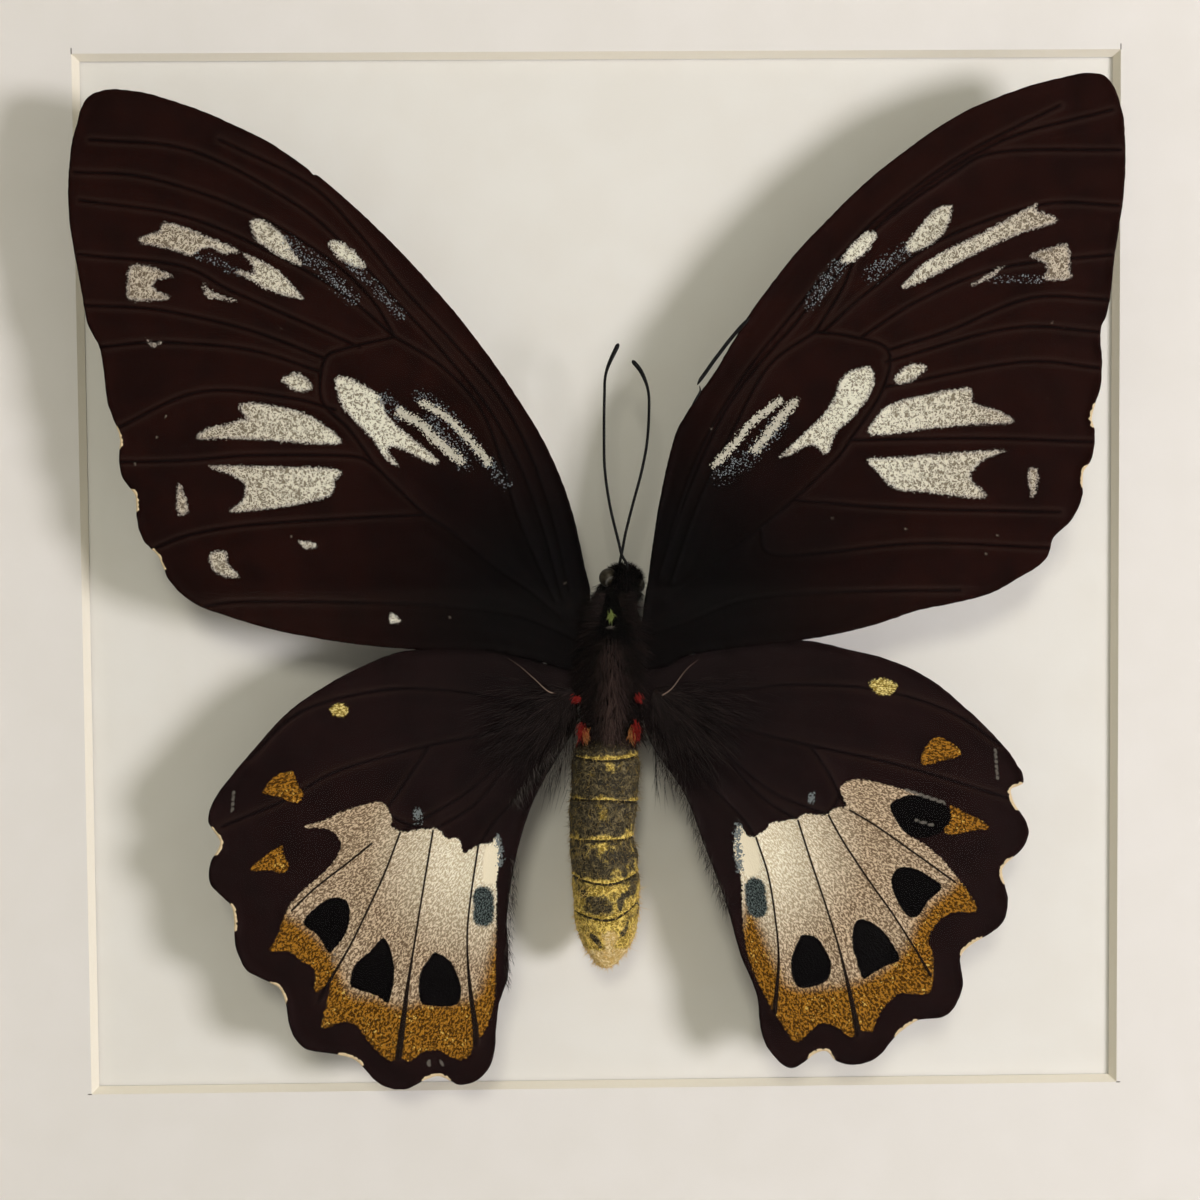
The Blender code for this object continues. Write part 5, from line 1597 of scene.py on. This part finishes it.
def dress_frame():
    """Materials for the CAD pieces that stay."""
    dress(["rail_top", "rail_bottom"], wood_material("stained_wood_across", True))
    dress(["rail_left", "rail_right"], wood_material("stained_wood_upright", False))
    dress(["mat"], paper_material("mat_board", (0.84, 0.8, 0.755), (0.82, 0.78, 0.73), True))
    dress(["mount_board"], paper_material("mount_board", (0.84, 0.81, 0.75), (0.82, 0.785, 0.72)))
    dress(["spacer_" + side for side in ("top", "bottom", "left", "right")],
          paper_material("spacer_card", (0.8, 0.78, 0.73), (0.74, 0.72, 0.67)))
    dress(["backing_board"], hardboard_material())
    dress(["glass"], glass_material())
    dress(["support_block"], foam_material())
    steel = ["sawtooth_hanger", "hanger_nail_left", "hanger_nail_right"]
    dress(steel + [f"flex_point_{number}" for number in range(1, 9)], steel_material())
    dress([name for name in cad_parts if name.startswith("leg_")] + ["proboscis"], HORN)
    dress(["palp_left", "palp_right"], FUR)


def build_floor():
    """A plain floor under the frame."""
    half = FLOOR_HALF / MM
    corners = [(-half, -half, 0), (half, -half, 0), (half, half, 0), (-half, half, 0)]
    faces = [(0, 1, 2), (0, 2, 3)]
    made = build("pale_floor", np.array(corners), faces, floor_material(), shade=False)
    made.location = (0, 0, 0)


def lamp(name, offset, size, power, colour=(1, 1, 1)):
    """A soft disc of light that faces the window's middle."""
    data = bpy.data.lights.new(name, "AREA")
    data.shape = "DISK"
    data.size = size
    data.energy = power
    data.color = colour
    made = bpy.data.objects.new(name, data)
    bpy.context.scene.collection.objects.link(made)
    made.location = MIDDLE + Vector(offset)
    made.rotation_euler = (MIDDLE - made.location).to_track_quat("-Z", "Y").to_euler()


def light_scene():
    """A small key from the right, a far fill from in front, a light for the back, and the room."""
    lamp("key_light", (0.6, -0.6, -0.03), 0.2, 4.8, (0.97, 0.94, 1.0))
    lamp("fill_light", (-0.3, -4.0, 1.75), 1.0, 47.0, (1.0, 0.97, 0.84))
    lamp("rear_light", (-0.8, 1.0, 0.9), 0.8, 12.0)
    world = bpy.data.worlds.new("room")
    bpy.context.scene.world = world
    world.use_nodes = True
    tree = world.node_tree
    path = tree.nodes.new("ShaderNodeLightPath")
    shade = tree.nodes.new("ShaderNodeMix")
    shade.data_type = "RGBA"
    shade.inputs[6].default_value = (1.0, 0.99, 0.87, 1)
    shade.inputs[7].default_value = (1.0, 1.0, 1.0, 1)
    ground = tree.nodes["Background"]
    ground.inputs["Strength"].default_value = ROOM_LIGHT
    tree.links.new(path.outputs["Is Camera Ray"], shade.inputs[0])
    tree.links.new(shade.outputs[2], ground.inputs["Color"])


def set_camera():
    """The photograph's viewing angle."""
    data = bpy.data.cameras.new("camera")
    data.angle = math.radians(CAMERA_FIELD)
    made = bpy.data.objects.new("camera", data)
    bpy.context.scene.collection.objects.link(made)
    turn = (Matrix.Rotation(math.radians(CAMERA_YAW), 3, "Z")
            @ Matrix.Rotation(math.radians(CAMERA_PITCH), 3, "X")
            @ Matrix.Rotation(math.radians(CAMERA_ROLL), 3, "Y")
            @ Matrix.Rotation(math.pi / 2, 3, "X"))
    made.rotation_euler = turn.to_euler()
    made.location = MIDDLE + Vector(CAMERA_PLACE) * MM
    bpy.context.scene.camera = made


HORN = horn_material()
UNDERSIDE = underside_material()
FUR = fur_material("black_fur", (0.0003, 0.0003, 0.0004), (0.13, 0.08, 0.068))
RED_FUR = fur_material("red_fur", (0.09, 0.007, 0.007), (0.42, 0.03, 0.022))
AMBER_FUR = fur_material("amber_fur", (0.2, 0.06, 0.02), (0.6, 0.25, 0.08))
GREEN_FUR = fur_material("green_fur", (0.12, 0.15, 0.03), (0.34, 0.4, 0.13))
OLIVE_FUR = fur_material("olive_fur", (0.04, 0.03, 0.012), (0.85, 0.58, 0.18))
BROWN_FUR = fur_material("brown_fur", (0.002, 0.0013, 0.0013), (0.048, 0.033, 0.03))
FRINGE = fur_material("fringe", (0.006, 0.004, 0.004), (0.2, 0.17, 0.145))
# Painted highlight: tan on the vein ridges at the hindwings' roots.
VEIN_HIGHLIGHT = fur_material("painted_vein_highlight", (0.05, 0.028, 0.02), (0.3, 0.21, 0.16), 0.5)

dress_frame()
build_wings()
build_thorax()
build_head()
build_abdomen()
build_antenna("left", LEFT_ANTENNA)
build_antenna("right", RIGHT_ANTENNA)
build_wing_hair()
build_ridges()
build_floor()
light_scene()
set_camera()
bpy.context.scene.view_settings.view_transform = "Standard"
